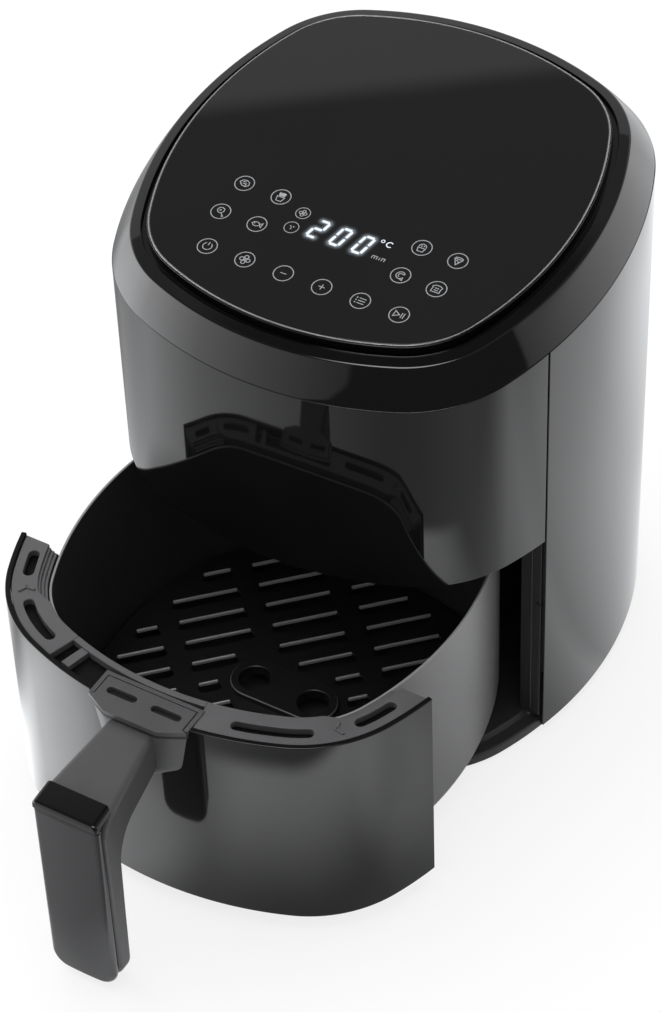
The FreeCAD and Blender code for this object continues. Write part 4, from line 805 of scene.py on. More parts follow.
# Top: sloping band, black ring, touch glass and its pale line
topCover = {
    "bandLow": (0.1, 0.2),
    "bandTop": (12.4, 20),
    "bandSteps": 8,
    "swell": (-0.255, 0.159),
    "ring": [(18.2, 21.2), (18.6, 18.2), (21.6, 18.2), (21.9, 24.4), (22.5, 24.4), (22.5, 17), (14, 15),
             (3.4, 0.2)],
    "edge": 0.35,
    "topEdge": 0.9,
    "topNear": 0.1,
}
touchGlass = {"inset": 23.5, "low": 22.3, "high": 25.3, "edge": 0.4}
trimLine = {"outer": 22.6, "inner": 23.4, "low": 22, "high": 25.2, "edge": 0.15}


def makeTop():
    band = []
    for i in range(topCover["bandSteps"] + 1):
        share = i / topCover["bandSteps"]
        bulge = math.sin(math.pi * share)
        ends = zip(topCover["bandLow"], topCover["bandTop"], topCover["swell"])
        band.append(tuple(low + (top - low) * share + swell * bulge for low, top, swell in ends))
    bm = sweepWall(wholeRing, band + topCover["ring"], tiltedDepth)

    def onTopEdge(edge):
        # The edge where the band meets the ring, which catches a thin line of light
        return all(abs(v.co.z - topCover["bandTop"][1]) < topCover["topNear"] for v in edge.verts)

    roundEdges(bm, topCover["topEdge"], segments=4, least=15, picked=onTopEdge)
    roundEdges(bm, topCover["edge"], segments=2, least=50)
    finishPiece(bm, "top_cover_band", "body", "piano_black", ["top_cover"], "top")
    heights = (touchGlass["low"], touchGlass["high"])
    bm = sweepBowl([(touchGlass["inset"], height) for height in heights], tiltedDepth)
    roundEdges(bm, touchGlass["edge"])
    finishPiece(bm, "touch_glass_plate", "body", "touch_glass", ["control_glass"], "top")
    line = wallSection(trimLine["outer"], trimLine["inner"], trimLine["low"], trimLine["high"])
    bm = sweepWall(wholeRing, line, tiltedDepth)
    roundEdges(bm, trimLine["edge"], segments=2)
    finishPiece(bm, "glass_trim_line", "body", "pale_trim", ["glass_trim_ring"], "top")


makeTop()
print("top done")

# Drawer front, rim and pan, drawn shut and moved out when finished
drawerFront = {"wall": 3, "low": 10, "high": 143, "notchHalf": 30.3, "notchLow": 137.7, "edge": 0.6,
               "upward": 0.8}
backing = {"outer": 3.3, "inner": 5.3, "low": 14, "high": 137.5, "end": -55.2, "edge": 0.5}


def makeDrawerFront():
    wall, low, high = drawerFront["wall"], drawerFront["low"], drawerFront["high"]
    notch = facingAt(lambda a: planPoint(a, 0)[0] < drawerFront["notchHalf"], -90, 0)
    left = spread(-180 - panelFacing, -180 - notch)
    right = spread(notch, panelFacing)
    middle = spread(-180 - notch, notch)
    sections = []
    for angles, top in ((left, high), (middle, drawerFront["notchLow"]), (right, high)):
        sections += [wallSection(0, wall, low, top) + [(0, low)]] * len(angles)
    bm = layOut(left + middle + right, sections, plan["halfDepth"])
    roundEdges(bm, drawerFront["edge"])
    # The skin's upward faces take the painted shade
    for face in bm.faces:
        if face.normal.z > drawerFront["upward"]:
            face.material_index = 1
    finishPiece(bm, "drawer_front_skin", "drawer", "gloss_shell", ["drawer_front_panel"], "drawer",
                others=[paintedShade])
    section = wallSection(backing["outer"], backing["inner"], backing["low"], backing["high"])
    bm = cutEnds(sweepWall(frontRing, section), backing["end"])
    roundEdges(bm, backing["edge"])
    finishPiece(bm, "drawer_backing_wall", "drawer", "grey_plastic", ["drawer_backing"], "drawer")


makeDrawerFront()

# Angles of slots, ribs and clips are counted round the middle from the handle
rim = {
    "outer": 3.3,
    "inner": 22.7,
    "narrow": 17.5,
    "narrowFrom": 40,
    "narrowOver": 14,
    "low": 137.5,
    "high": 142,
    "bevel": 0.5,
    "end": -55.4,
    "notchHalf": 30.3,
    "behind": 19,
    "behindBevel": 0.3,
    "slots": ((-61.5, -53.5), (-44.5, -30.5), (20.5, 39), (49.5, 60)),
    "slotOuter": 8.5,
    "slotInner": 14.5,
    "slotTrim": 1.2,
    "plateEnd": -27,
    "rib": (-24, -21.6),
    "ribOuter": 4.8,
    "ribHigh": 141,
    "ribBevel": 0.4,
    "trayOuter": 5.6,
    "trayInner": 22.9,
    "trayLow": 132,
    "trayHigh": 137.3,
    "trayEnd": -55.7,
    "ledges": (140.6, 139.2, 138.1),
    "ledgeFrom": 48,
    "ledgeOuter": 17.2,
    "ledgeStep": 1.8,
    "ledgeFlat": 1.55,
    "ledgeEdge": 0.3,
    "ledgeEnd": -56.2,
}
rimClip = {"places": (-49, 44.5), "high": 143, "sunk": 1, "half": 3.2, "thick": 1.6, "shift": 2,
           "turn": 32, "edge": 0.4}


def bandOutline(first, last, outer, inner):
    # The outline of a band between two wall directions, with its inner edge given as a function
    there = [planPoint(a, outer) for a in spread(first, last)]
    back = [planPoint(a, inner(a)) for a in spread(last, first)]
    return there + back


def capsuleOutline(first, last, outer, inner):
    # A slot along the rim with round ends
    middle, half = (outer + inner) / 2, (inner - outer) / 2
    trim = rim["slotTrim"]
    angles = spread(facingFromHandle(first, middle) + trim, facingFromHandle(last, middle) - trim, 2)
    there = [planPoint(a, outer) for a in angles]
    back = [planPoint(a, inner) for a in reversed(angles)]
    ends = []
    for a, turn in ((angles[-1], 1), (angles[0], -1)):
        x, y = planPoint(a, middle)
        ends.append(arc((x, y), half, a, a + turn * 180)[1:-1])
    return there + ends[0] + back + ends[1][::-1]


def addClip(bm, polar):
    # A small raised chevron that points along the rim
    middle = (rim["slotOuter"] + rim["slotInner"]) / 2
    facing = facingFromHandle(polar, middle)
    x, y = planPoint(facing, middle)
    half, thick = rimClip["half"], rimClip["thick"] / 2
    heights = (rim["high"] - rimClip["sunk"], rimClip["high"])
    for side in (-1, 1):
        bar = addBlock(bm, (-half, half), (-thick, thick), heights)
        bmesh.ops.translate(bm, verts=bar, vec=(side * rimClip["shift"], 0, 0))
        turnRound(bm, bar, side * rimClip["turn"])
        turnRound(bm, bar, facing)
        bmesh.ops.translate(bm, verts=bar, vec=(x, y, 0))


def makeRim():
    def innerEdge(a):
        # Narrower at the sides, where stepped ledges show beside the plate
        share = min(1, max(0, (abs(a + 90) - rim["narrowFrom"]) / rim["narrowOver"]))
        return rim["inner"] + (rim["narrow"] - rim["inner"]) * share * share * (3 - 2 * share)

    notch = facingAt(lambda a: planPoint(a, rim["outer"])[0] < rim["notchHalf"], -90, 0)
    plateEnd = facingFromHandle(rim["plateEnd"], rim["outer"])
    bm = bmesh.new()
    for side, first, last in ((-1, -180 - panelFacing, plateEnd), (1, notch, panelFacing)):
        outlines = [bandOutline(first, last, rim["outer"], innerEdge)]
        for low, high in rim["slots"]:
            if low * side > 0:
                outlines.append(capsuleOutline(low, high, rim["slotOuter"], rim["slotInner"]))
        joinIn(bm, cutEnds(flatPlate(outlines, rim["low"], rim["high"], rim["bevel"]), rim["end"]))
    ribEnds = [facingFromHandle(polar, rim["outer"]) for polar in rim["rib"]]
    rib = bandOutline(*ribEnds, rim["ribOuter"], innerEdge)
    joinIn(bm, flatPlate([rib], rim["trayHigh"], rim["ribHigh"], rim["ribBevel"]))
    behind = bandOutline(plateEnd, notch, rim["behind"], innerEdge)
    joinIn(bm, flatPlate([behind], rim["low"], rim["high"], rim["behindBevel"]))
    section = [(rim["ledgeOuter"], rim["low"])]
    for i, high in enumerate(rim["ledges"]):
        inset = rim["ledgeOuter"] + i * rim["ledgeStep"]
        section += [(inset, high), (inset + rim["ledgeFlat"], high)]
    section.append((section[-1][0], rim["low"]))
    away = rim["ledgeFrom"]
    for first, last in ((-180 - panelFacing, -90 - away), (away - 90, panelFacing)):
        ledges = sweepWall(spread(first, last), section)
        roundEdges(ledges, rim["ledgeEdge"], segments=2)
        joinIn(bm, cutEnds(ledges, rim["ledgeEnd"]))
    clips = bmesh.new()
    for polar in rimClip["places"]:
        addClip(clips, polar)
    joinIn(bm, roundEdges(clips, rimClip["edge"], segments=2))
    # The tray under the rim plates takes the painted shade, which shows through the slots
    count = len(bm.faces)
    tray = wallSection(rim["trayOuter"], rim["trayInner"], rim["trayLow"], rim["trayHigh"])
    joinIn(bm, cutEnds(sweepWall(frontRing, tray), rim["trayEnd"]))
    bm.faces.ensure_lookup_table()
    for face in bm.faces[count:]:
        face.material_index = 1
    finishPiece(bm, "drawer_rim_plate", "drawer", "grey_plastic", ["drawer_rim"], "drawer",
                others=[paintedShade])


makeRim()

panTub = {"outer": 23, "wall": 1.5, "low": 14, "floor": 16, "high": 137, "round": 9, "steps": 8,
          "edge": 0.45, "wearAndHighlightDepth": 0.6, "upward": 0.2, "lipDepth": 1}


def makePan():
    outer, inner = panTub["outer"], panTub["outer"] + panTub["wall"]
    turn, innerTurn = panTub["round"], panTub["round"] - panTub["wall"]
    lower = arc((0, panTub["low"] + turn), turn, 270, 360, panTub["steps"])
    upper = arc((0, panTub["floor"] + innerTurn), innerTurn, 360, 270, panTub["steps"])
    outside = [(outer + turn - x, z) for x, z in lower]
    inside = [(inner + innerTurn - x, z) for x, z in upper]
    bm = sweepBowl(outside + [(outer, panTub["high"]), (inner, panTub["high"])] + inside)
    roundEdges(bm, panTub["edge"], segments=2, least=60)
    for face in bm.faces:
        spot = face.calc_center_median()
        inwards = face.normal.x * spot.x + face.normal.y * spot.y < 0
        upward = face.normal.z > panTub["upward"] and spot.z < panTub["high"] - panTub["lipDepth"]
        if inwards or upward:
            face.material_index = 1
        # The rim's top band takes the pale edge colour: wear with a painted highlight
        if spot.z > panTub["high"] - panTub["wearAndHighlightDepth"]:
            face.material_index = 2
    finishPiece(bm, "pan_tub", "drawer", "nonstick", ["pan"], "drawer", material=panOutside,
                others=[panInside, wearAndHighlightEdge])


makePan()
print("drawer done")

# Crisper plate with diagonal louvred slots and a finger boss
crisper = {
    "inset": 26,
    "low": 26,
    "high": 28.5,
    "bevel": 0.4,
    "edge": 8,
    "sunk": 1,
    "slotTurn": 45,
    "slotWidth": 6,
    "slotLength": 41,
    "slotLeast": 8,
    "pitch": 17,
    "pitchCount": 16,
    "rowPitch": 51,
    "rowCount": 5,
    "lipWidth": 1.2,
    "lipLap": 0.4,
    "lipShort": 1.5,
    "lipHigh": 30,
    "highlightLipEdge": 0.5,
    "bossHalf": 33,
    "bossRadius": 14,
    "bossHigh": 32.5,
    "bossBevel": 0.8,
    "bossHighlightSlope": (0.2, 0.95),
    "fingerSide": 19,
    "fingerRadius": 9,
    "fingerSteps": 48,
    "fingerClear": 2,
}


def insidePlan(x, y, inset):
    facing = abs(math.degrees(math.atan2(y, x)))

    def before(angle):
        px, py = planPoint(angle, inset)
        return facing >= 180 or math.degrees(math.atan2(py, px)) < facing

    return math.hypot(x, y) < math.hypot(*planPoint(facingAt(before, 0, 180), inset))


def slotSpot(along, across):
    # A point given along and across the slots
    diagonal = math.sqrt(0.5)
    return (along - across) * diagonal, (along + across) * diagonal


def slotRuns(rowMiddle, across):
    # The open stretches of one slot, cut short at the plate's edge and round the boss
    steps = crisper["slotLength"]
    straight = crisper["bossHalf"] - crisper["bossRadius"]
    runs = []
    last = None
    for step in range(steps + 1):
        along = rowMiddle - steps / 2 + step
        free = True
        for edge in (across - crisper["slotWidth"] / 2, across + crisper["slotWidth"] / 2):
            x, y = slotSpot(along, edge)
            away = math.hypot(max(abs(x) - straight, 0), y)
            clear = away > crisper["bossRadius"] + crisper["edge"] / 2
            free = free and clear and insidePlan(x, y, crisper["inset"] + crisper["edge"])
        if free:
            last = (last[0], along) if last else (along, along)
        if last and (not free or step == steps):
            if last[1] - last[0] > crisper["slotLeast"]:
                runs.append(last)
            last = None
    return runs


def makeCrisper():
    slots = []
    for row in range(-crisper["rowCount"], crisper["rowCount"]):
        for column in range(-crisper["pitchCount"], crisper["pitchCount"] + 1):
            across = column * crisper["pitch"]
            for low, high in slotRuns((row + 0.5) * crisper["rowPitch"], across):
                slots.append((low, high, across))
    fingers = []
    for side in (-1, 1):
        centre = (side * crisper["fingerSide"], 0)
        fingers.append(circle(centre, crisper["fingerRadius"], crisper["fingerSteps"]))
    outlines = [[planPoint(a, crisper["inset"]) for a in wholeRing[:-1]]] + fingers
    lips = bmesh.new()
    near, sunk = crisper["slotWidth"] / 2 - crisper["lipLap"], crisper["high"] - crisper["sunk"]
    for low, high, across in slots:
        x, y = slotSpot((low + high) / 2, across)
        outlines.append(stadium(x, y, high - low, crisper["slotWidth"], crisper["slotTurn"], steps=4))
        half = (high - low) / 2 - crisper["lipShort"]
        lip = addBlock(lips, (-half, half), (near, near + crisper["lipWidth"]),
                       (sunk, crisper["lipHigh"]))
        turnRound(lips, lip, crisper["slotTurn"])
        bmesh.ops.translate(lips, verts=lip, vec=(x, y, 0))
    roundEdges(lips, crisper["highlightLipEdge"], segments=2)
    # The lips take the pale colour, a painted highlight
    for face in lips.faces:
        face.material_index = 1
    bm = flatPlate(outlines, crisper["low"], crisper["high"], crisper["bevel"])
    joinIn(bm, lips)
    boss = stadium(0, 0, 2 * crisper["bossHalf"], 2 * crisper["bossRadius"], steps=16)
    raised = flatPlate([boss] + fingers, sunk, crisper["bossHigh"], crisper["bossBevel"])
    # The boss's sloping border, clear of the finger holes, takes the pale edge colour, a painted
    # highlight outline
    steep, level = crisper["bossHighlightSlope"]
    for face in raised.faces:
        spot = face.calc_center_median()
        away = math.hypot(abs(spot.x) - crisper["fingerSide"], spot.y)
        clear = away > crisper["fingerRadius"] + crisper["fingerClear"]
        if clear and steep < face.normal.z < level:
            face.material_index = 2
    joinIn(bm, raised)
    finishPiece(bm, "crisper_tray", "crisper", "nonstick", ["crisper_plate"], "drawer",
                others=[highlightLipEdge, wearAndHighlightEdge])
    print("crisper slots:", len(slots))


makeCrisper()

# Handle
bracket = {
    "half": 30,
    "frontHalf": 16,
    "front": -143.5,
    "back": -118.5,
    "chamfer": -136.5,
    "low": 138,
    "floor": 140,
    "high": 143,
    "bevel": 0.3,
    "border": 2.6,
    "borderDrop": 0.2,
    "groove": 0.5,
    "seatStep": 1,
    "lidBevel": 0.4,
    "slotMiddle": 13.5,
    "slotLength": 18,
    "slotWidth": 4.5,
    "slotY": -129.8,
    "apronLow": 107,
    "apronHalf": 29,
    "apronTaper": 0.2,
    "apronRound": 7,
    "apronCuts": 7,
    "apronNose": -15,
    "apronBevel": 1,
    "apronLap": 0.5,
    "apronSide": -135,
    "apronBack": (-136.5, -137),
}


def bothSides(half):
    # The left half of an outline, from its back to its front, and its mirror image back again
    return half + [(-x, y) for x, y in reversed(half)]


def makeBracket():
    half, front, back, chamfer = [bracket[key] for key in ("half", "front", "back", "chamfer")]
    nose, floor = (-bracket["frontHalf"], front), bracket["floor"]
    bm = flatPlate([bothSides([(-half, back), (-half, chamfer), nose])], bracket["low"], floor,
                   bracket["bevel"])
    for face in bm.faces:
        face.material_index = 1
    reach, inside = half - bracket["border"], back - bracket["border"]
    start = chamfer + bracket["seatStep"]
    seat = bothSides([(-half, back), (-half, start), (-reach, start), (-reach, inside)])
    joinIn(bm, flatPlate([seat], floor, bracket["high"] - bracket["borderDrop"], bracket["bevel"]))
    reach, inside = reach - bracket["groove"], inside - bracket["groove"]
    outlines = [bothSides([(-reach, inside), (-reach, start), (-half, chamfer), nose])]
    for middle in (-bracket["slotMiddle"], bracket["slotMiddle"]):
        outlines.append(stadium(middle, bracket["slotY"], bracket["slotLength"], bracket["slotWidth"]))
    joinIn(bm, flatPlate(outlines, floor, bracket["high"], bracket["lidBevel"]))
    wide, low, turn = bracket["apronHalf"], bracket["apronLow"], bracket["apronRound"]
    quarter, middle = bracket["apronBack"]
    outline = bothSides([(-wide, bracket["apronSide"]), (bracket["apronNose"], front)])
    outline += [(wide / 2, quarter), (0, middle), (-wide / 2, quarter)]
    apron = flatPlate([outline], low, bracket["low"] + bracket["apronLap"], bracket["apronBevel"])
    for i in range(bracket["apronCuts"]):
        level = low + turn * ((i + 1) / bracket["apronCuts"]) ** 2
        cutAt(apron, (0, 0, level), (0, 0, 1))
    for vert in apron.verts:
        up = vert.co.z - low
        below = max(0, turn - up)
        drawn = turn - math.sqrt(max(0, turn ** 2 - below ** 2))
        share = 1 - up / (bracket["low"] - low)
        vert.co.x *= 1 - bracket["apronTaper"] * share - drawn / wide
    joinIn(bm, apron)
    finishPiece(bm, "handle_bracket_plate", "drawer", "handle_plastic", ["handle_bracket"], "drawer",
                others=[finishes["black_plastic"]])


makeBracket()

handle = {
    "root": -143.5,
    "rootTop": 138,
    "rootLow": 111,
    "rootHalf": 14,
    "coreFront": -200,
    "coreBack": -187.5,
    "gripFront": -205.8,
    "gripTop": 130,
    "gripLow": 5,
    "half": 20,
    "bend": 12,
    "bendLow": 106,
    "innerBend": 22,
    "edge": 4,
    "corner": 10,
    "endTrim": 2,
    "endSteps": 8,
    "joint": 0.2,
    "plateEdge": 2.4,
    "crown": 0.9,
    "crownStep": 4,
    "accentLow": 128.4,
    "accentBack": -191,
    "accentThick": 3.6,
    "accentCorner": 3.4,
    "accentEdge": 1.8,
    "accentSmallEdge": 0.4,
    "accentRise": 1,
}


def sideSolid(points, half):
    # A side view, given as (y, z), made a solid across X
    bm = bmesh.new()
    face = bm.faces.new([bm.verts.new((-half, y, z)) for y, z in points])
    pushOut(bm, [face], (2 * half, 0, 0))
    bmesh.ops.recalc_face_normals(bm, faces=bm.faces)
    return bm


def roundSeenCorners(bm, width, segments, picked):
    # Rounds the corners that a side solid shows from the front
    corners = [e for e in bm.edges if abs(e.verts[0].co.x - e.verts[1].co.x) < finishing["near"]
               and all(picked(v.co.z) for v in e.verts)]
    bmesh.ops.bevel(bm, geom=corners, offset=width, affect="EDGES", segments=segments, profile=0.5,
                    material=-1)


def roundCorner(before, corner, after, radius, steps=10):
    # The rounded turn between two straight runs of a side view
    here = Vector(corner)
    ways = [(Vector(end) - here).normalized() for end in (before, after)]
    half = ways[0].angle(ways[1]) / 2
    middle = here + (ways[0] + ways[1]).normalized() * radius / math.sin(half)
    ends = [here + way * radius / math.tan(half) - middle for way in ways]
    first, last = [math.degrees(math.atan2(end.y, end.x)) for end in ends]
    last += 360 * round((first - last) / 360)
    return arc(middle, radius, first, last, steps)


def armRing(inner, outer, trim):
    # A rounded oblong across the arm, from its inner to its outer side, drawn in by the trim
    run = Vector(outer) - Vector(inner)
    back, half, edge = handle["coreBack"], handle["half"], handle["edge"]
    depth = edge + trim[1]
    points = []
    for side, upper, first in ((1, True, 0), (-1, True, 90), (-1, False, 180), (1, False, 270)):
        for x, rise in arc((0, 0), edge, first, first + 90, steps=5):
            spot = Vector(inner) + run * ((run.length - depth if upper else depth) + rise) / run.length
            taper = min(1, max(0, (spot.x - back) / (handle["root"] - back)))
            reach = half - (half - handle["rootHalf"]) * taper - edge - trim[0]
            points.append((side * reach + x, spot.x, spot.y))
    return points + points[:1]


def makeArm():
    low = handle["gripLow"] + handle["corner"]
    root, back, front = handle["root"], handle["coreBack"], handle["coreFront"]
    inner = [(root, handle["rootLow"]), (back, handle["bendLow"]), (back, low)]
    outer = [(root, handle["rootTop"]), (front, handle["gripTop"]), (front, low)]
    sides = []
    for runs, radius in ((inner, handle["innerBend"]), (outer, handle["bend"])):
        sides.append([runs[0]] + roundCorner(*runs, radius))
    rings = [armRing(near, far, (0, 0)) for near, far in zip(*sides)]
    for i in range(handle["endSteps"] + 1):
        turn = math.radians(90 * i / handle["endSteps"])
        z = low - handle["corner"] * math.sin(turn)
        drawn = 1 - math.cos(turn)
        trim = (handle["corner"] * drawn, handle["endTrim"] * drawn)
        rings.append(armRing((back, z), (front, z), trim))
    bm = closeUp(gridAt(len(rings), len(rings[0]), lambda column, row: rings[column][row]))
    finishPiece(bm, "handle_arm_core", "drawer", "handle_plastic", ["handle_arm"], "drawer")


def makeFrontPlate():
    back, top = handle["coreFront"] - handle["joint"], handle["accentLow"] - handle["joint"]
    front, low = handle["gripFront"], handle["gripLow"]
    bm = sideSolid([(back, top), (front, top), (front, low), (back, low)], handle["half"])
    roundSeenCorners(bm, handle["corner"], segments=8, picked=lambda z: abs(z - low) < finishing["near"])
    roundEdges(bm, handle["plateEdge"], segments=4, least=40, clamp=False)
    for x in range(handle["crownStep"] - handle["half"], handle["half"], handle["crownStep"]):
        cutAt(bm, (x, 0, 0), (1, 0, 0))
    for vert in bm.verts:
        share = (handle["coreFront"] - vert.co.y) / (handle["coreFront"] - front)
        vert.co.y += handle["crown"] * share * (vert.co.x / handle["half"]) ** 2
    finishPiece(bm, "handle_front_plate", "drawer", "handle_gloss", ["handle_grip_front"], "drawer")


def makeAccent():
    front, low = handle["gripFront"], handle["accentLow"]
    back, top = handle["coreFront"] - handle["joint"], handle["gripTop"] + handle["joint"]
    outer = top + handle["accentThick"]
    slope = (handle["rootTop"] - handle["gripTop"]) / (handle["root"] - handle["coreFront"])
    end, upper = handle["accentBack"], top + handle["accentRise"]
    rise = slope * (end - handle["coreFront"])
    drop = slope * (handle["coreFront"] - front)
    bm = sideSolid([(back, low), (back, top), (end, top + rise), (end, outer + rise),
                    (front, outer - drop), (front, low)], handle["half"])
    roundSeenCorners(bm, handle["accentCorner"], segments=6, picked=lambda z: z > upper)

    def onFront(edge):
        # The edges round the front face, but not the joint with the plate below
        ahead = all(v.co.y < front + finishing["near"] for v in edge.verts)
        return ahead and any(v.co.z > low + finishing["near"] for v in edge.verts)

    roundEdges(bm, handle["accentEdge"], segments=4, least=40, picked=onFront, clamp=False)
    roundEdges(bm, handle["accentSmallEdge"], segments=2, least=60)
    finishPiece(bm, "handle_accent_strip", "drawer", "piano_black", ["handle_accent"], "drawer")


makeArm()
makeFrontPlate()
makeAccent()
print("handle done")

# Marks on the glass: touch signs and the lit figures, as thin raised print
panelMarks = {"lift": 25.32, "thick": 0.06, "line": 0.5, "button": 5.25, "small": 3.9, "smallSize": 0.75,
              "fine": 0.42, "mitreLeast": 0.4, "ringSteps": 40, "arcSteps": 24, "dotSteps": 16}


def markLine(bm, points, line, closed=False):
    # A stroke of even width along the points, with mitred corners
    count = len(points)
    pairs = []
    for i, (x, y) in enumerate(points):
        ways = []
        for near, far in ((i - 1, i), (i, i + 1)):
            if closed or (near >= 0 and far < count):
                run = Vector(points[far % count]) - Vector(points[near % count])
                ways.append(Vector((-run.y, run.x)).normalized())
        side = (ways[0] + ways[-1]).normalized()
        side *= line / 2 / max(panelMarks["mitreLeast"], side.dot(ways[0]))
        pairs.append([bm.verts.new((x + s * side.x, y + s * side.y, 0)) for s in (-1, 1)])
    for i in range(count if closed else count - 1):
        low, high = pairs[i], pairs[(i + 1) % count]
        bm.faces.new([low[0], high[0], high[1], low[1]])


def markShape(bm, points):
    bm.faces.new([bm.verts.new((x, y, 0)) for x, y in points])


# Each sign is a list of strokes: lines, loops and fills with their points, rings and dots with a middle
# and a radius, and arcs with their first and last angle as well
signs = {
    "power": [("arc", 0, 0.1, 2.5, 125, 415), ("line", [(0, 0.7), (0, 3.2)])],
    "fan": [("ring", 0.1, 1.9, 1.1), ("ring", 1.9, -0.1, 1.1), ("ring", -0.1, -1.9, 1.1),
            ("ring", -1.9, 0.1, 1.1), ("dot", 0, 0, 0.45)],
    "minus": [("line", [(-1.7, 0), (1.7, 0)])],
    "plus": [("line", [(-1.8, 0), (1.8, 0)]), ("line", [(0, 0.25), (0, 1.8)]),
             ("line", [(0, -0.25), (0, -1.8)])],
    "list": [("line", [(-1.3, 1.7), (2.7, 1.7)]), ("line", [(-1.3, 0), (2.7, 0)]),
             ("line", [(-1.3, -1.7), (2.7, -1.7)]), ("dot", -2.5, 1.7, 0.4), ("dot", -2.5, 0, 0.4),
             ("dot", -2.5, -1.7, 0.4)],
    "play": [("loop", [(-2.8, -1.9), (0.2, 0), (-2.8, 1.9)]), ("line", [(1.3, -1.8), (1.3, 1.8)]),
             ("line", [(2.6, -1.8), (2.6, 1.8)])],
    "chips": [("fill", [(-1.7, 0.5), (1.7, 0.5), (2.2, 2.6), (0.9, 3.1), (-1, 2.8), (-2.1, 2.9)]),
              ("loop", [(-2.2, 0), (-1.5, -3), (1.5, -3), (2.2, 0)])],
    "drumstick": [("loop", [(0.4, -1.2), (-1.4, -0.8), (-2.3, 0.6), (-1.9, 2.2), (-0.4, 2.9), (1.2, 2.2),
                            (1.6, 0.6)]),
                  ("line", [(0.9, -1), (2, -2.2)]), ("dot", 2.3, -2.7, 0.6), ("dot", -0.6, 0.9, 0.55)],
    "fish": [("loop", [(-2.9, 0), (-1.6, 1.3), (0.2, 1.4), (1.6, 0.3), (2.9, 1.5), (2.9, -1.5),
                       (1.6, -0.3), (0.2, -1.4), (-1.6, -1.3)]), ("dot", -1.6, 0.3, 0.4)],
    "steak": [("loop", [(-2.9, 0.3), (-1.9, 2), (0.2, 2.4), (2.2, 1.5), (2.9, -0.6), (1.5, -2.1),
                        (-0.9, -1.6)]),
              ("line", [(-1.4, 0.9), (0.4, 1.3)]), ("line", [(-0.9, -0.3), (1.4, 0.1)]),
              ("dot", 1.1, -1, 0.5)],
    "cake": [("loop", [(-2.1, -0.2), (-1.5, -2.7), (1.5, -2.7), (2.1, -0.2)]),
             ("arc", 0, 0.5, 2.1, 0, 180), ("dot", -0.7, 1.1, 0.4), ("dot", 0.7, 1.3, 0.4)],
    "pizza": [("loop", [(0, -2.9), (2.3, 1.2), (-2.3, 1.2)]), ("arc", 0, -2.6, 5, 62, 118),
              ("dot", -0.5, 0.1, 0.5), ("dot", 0.6, -0.7, 0.45)],
    "prawn": [("arc", 0, 0, 2.4, 40, 270), ("arc", 0, 0, 1.2, 40, 250), ("dot", 1.5, 1.2, 0.5),
              ("loop", [(0.3, -2.4), (2.1, -3), (1.8, -1.2)])],
    "bread": [("loop", [(-2.4, -2.2), (2.4, -2.2), (2.3, 0.4), (2.7, 1.5), (1.3, 2.4), (-1.3, 2.4),
                        (-2.7, 1.5), (-2.3, 0.4)]),
              ("line", [(-1.2, -0.9), (1.2, -0.9)]), ("line", [(-1.2, 0.5), (1.2, 0.5)])],
    "thaw": [("dot", -1.2, 1, 0.55), ("dot", 1.2, 1.1, 0.55), ("dot", 0, -1.3, 0.55),
             ("line", [(-0.5, 0.1), (0.5, 0.1)])],
}
signPlaces = [
    (-55.1, -83.6, "power"), (-32.3, -83.6, "fan"), (-9.2, -83.6, "minus"), (13.6, -83.6, "plus"),
    (36.3, -83.6, "list"), (58.9, -83.6, "play"), (-61.8, -59.2, "drumstick"), (-39.7, -59.2, "fish"),
    (46.2, -59.6, "prawn"), (67.5, -60.3, "bread"), (-61, -36.4, "steak"), (-38.3, -37, "chips"),
    (46.7, -38.2, "cake"), (67.9, -38.6, "pizza"),
]
smallPlaces = [(-21.7, -42.4, "fan"), (-22.1, -53.7, "thaw")]
# The letters of the minutes' unit
unitLetters = {
    "base": -55.2,
    "strokes": [[(26.4, 0), (26.4, 1.9), (27.8, 1.9), (27.8, 0)], [(27.8, 1.9), (29.2, 1.9), (29.2, 0)],
                [(30.6, 0), (30.6, 1.9)], [(32, 0), (32, 1.9), (33.6, 1.9), (33.6, 0)]],
}


def markRing(bm, x, y, radius, line):
    markLine(bm, circle((x, y), radius, panelMarks["ringSteps"]), line, True)


def drawSign(bm, x, y, sign, line, size=1):
    for kind, *values in signs[sign]:
        if kind in ("line", "loop", "fill"):
            points = [(x + px * size, y + py * size) for px, py in values[0]]
            if kind == "fill":
                markShape(bm, points)
            else:
                markLine(bm, points, line, kind == "loop")
        else:
            spot = (x + values[0] * size, y + values[1] * size)
            if kind == "arc":
                markLine(bm, arc(spot, values[2] * size, *values[3:], panelMarks["arcSteps"]), line)
            elif kind == "ring":
                markRing(bm, *spot, values[2] * size, line)
            else:
                markShape(bm, circle(spot, values[2] * size, panelMarks["dotSteps"]))


def raiseMarks(bm, lift=panelMarks["lift"], thick=panelMarks["thick"]):
    bmesh.ops.recalc_face_normals(bm, faces=bm.faces)
    pushOut(bm, bm.faces[:], (0, 0, thick))
    bmesh.ops.translate(bm, verts=bm.verts, vec=(0, 0, lift))
    bmesh.ops.recalc_face_normals(bm, faces=bm.faces)


def makeMarks():
    bm = bmesh.new()
    for x, y, sign in signPlaces:
        markRing(bm, x, y, panelMarks["button"], panelMarks["line"])
        drawSign(bm, x, y, sign, panelMarks["line"])
    for x, y, sign in smallPlaces:
        markRing(bm, x, y, panelMarks["small"], panelMarks["fine"])
        drawSign(bm, x, y, sign, panelMarks["fine"], panelMarks["smallSize"])
    for points in unitLetters["strokes"]:
        markLine(bm, [(x, unitLetters["base"] + y) for x, y in points], panelMarks["line"])
    raiseMarks(bm)
    finishPiece(bm, "glass_signs", "body", "pale_trim", place="top", material=printedMark,
                weighted=False)


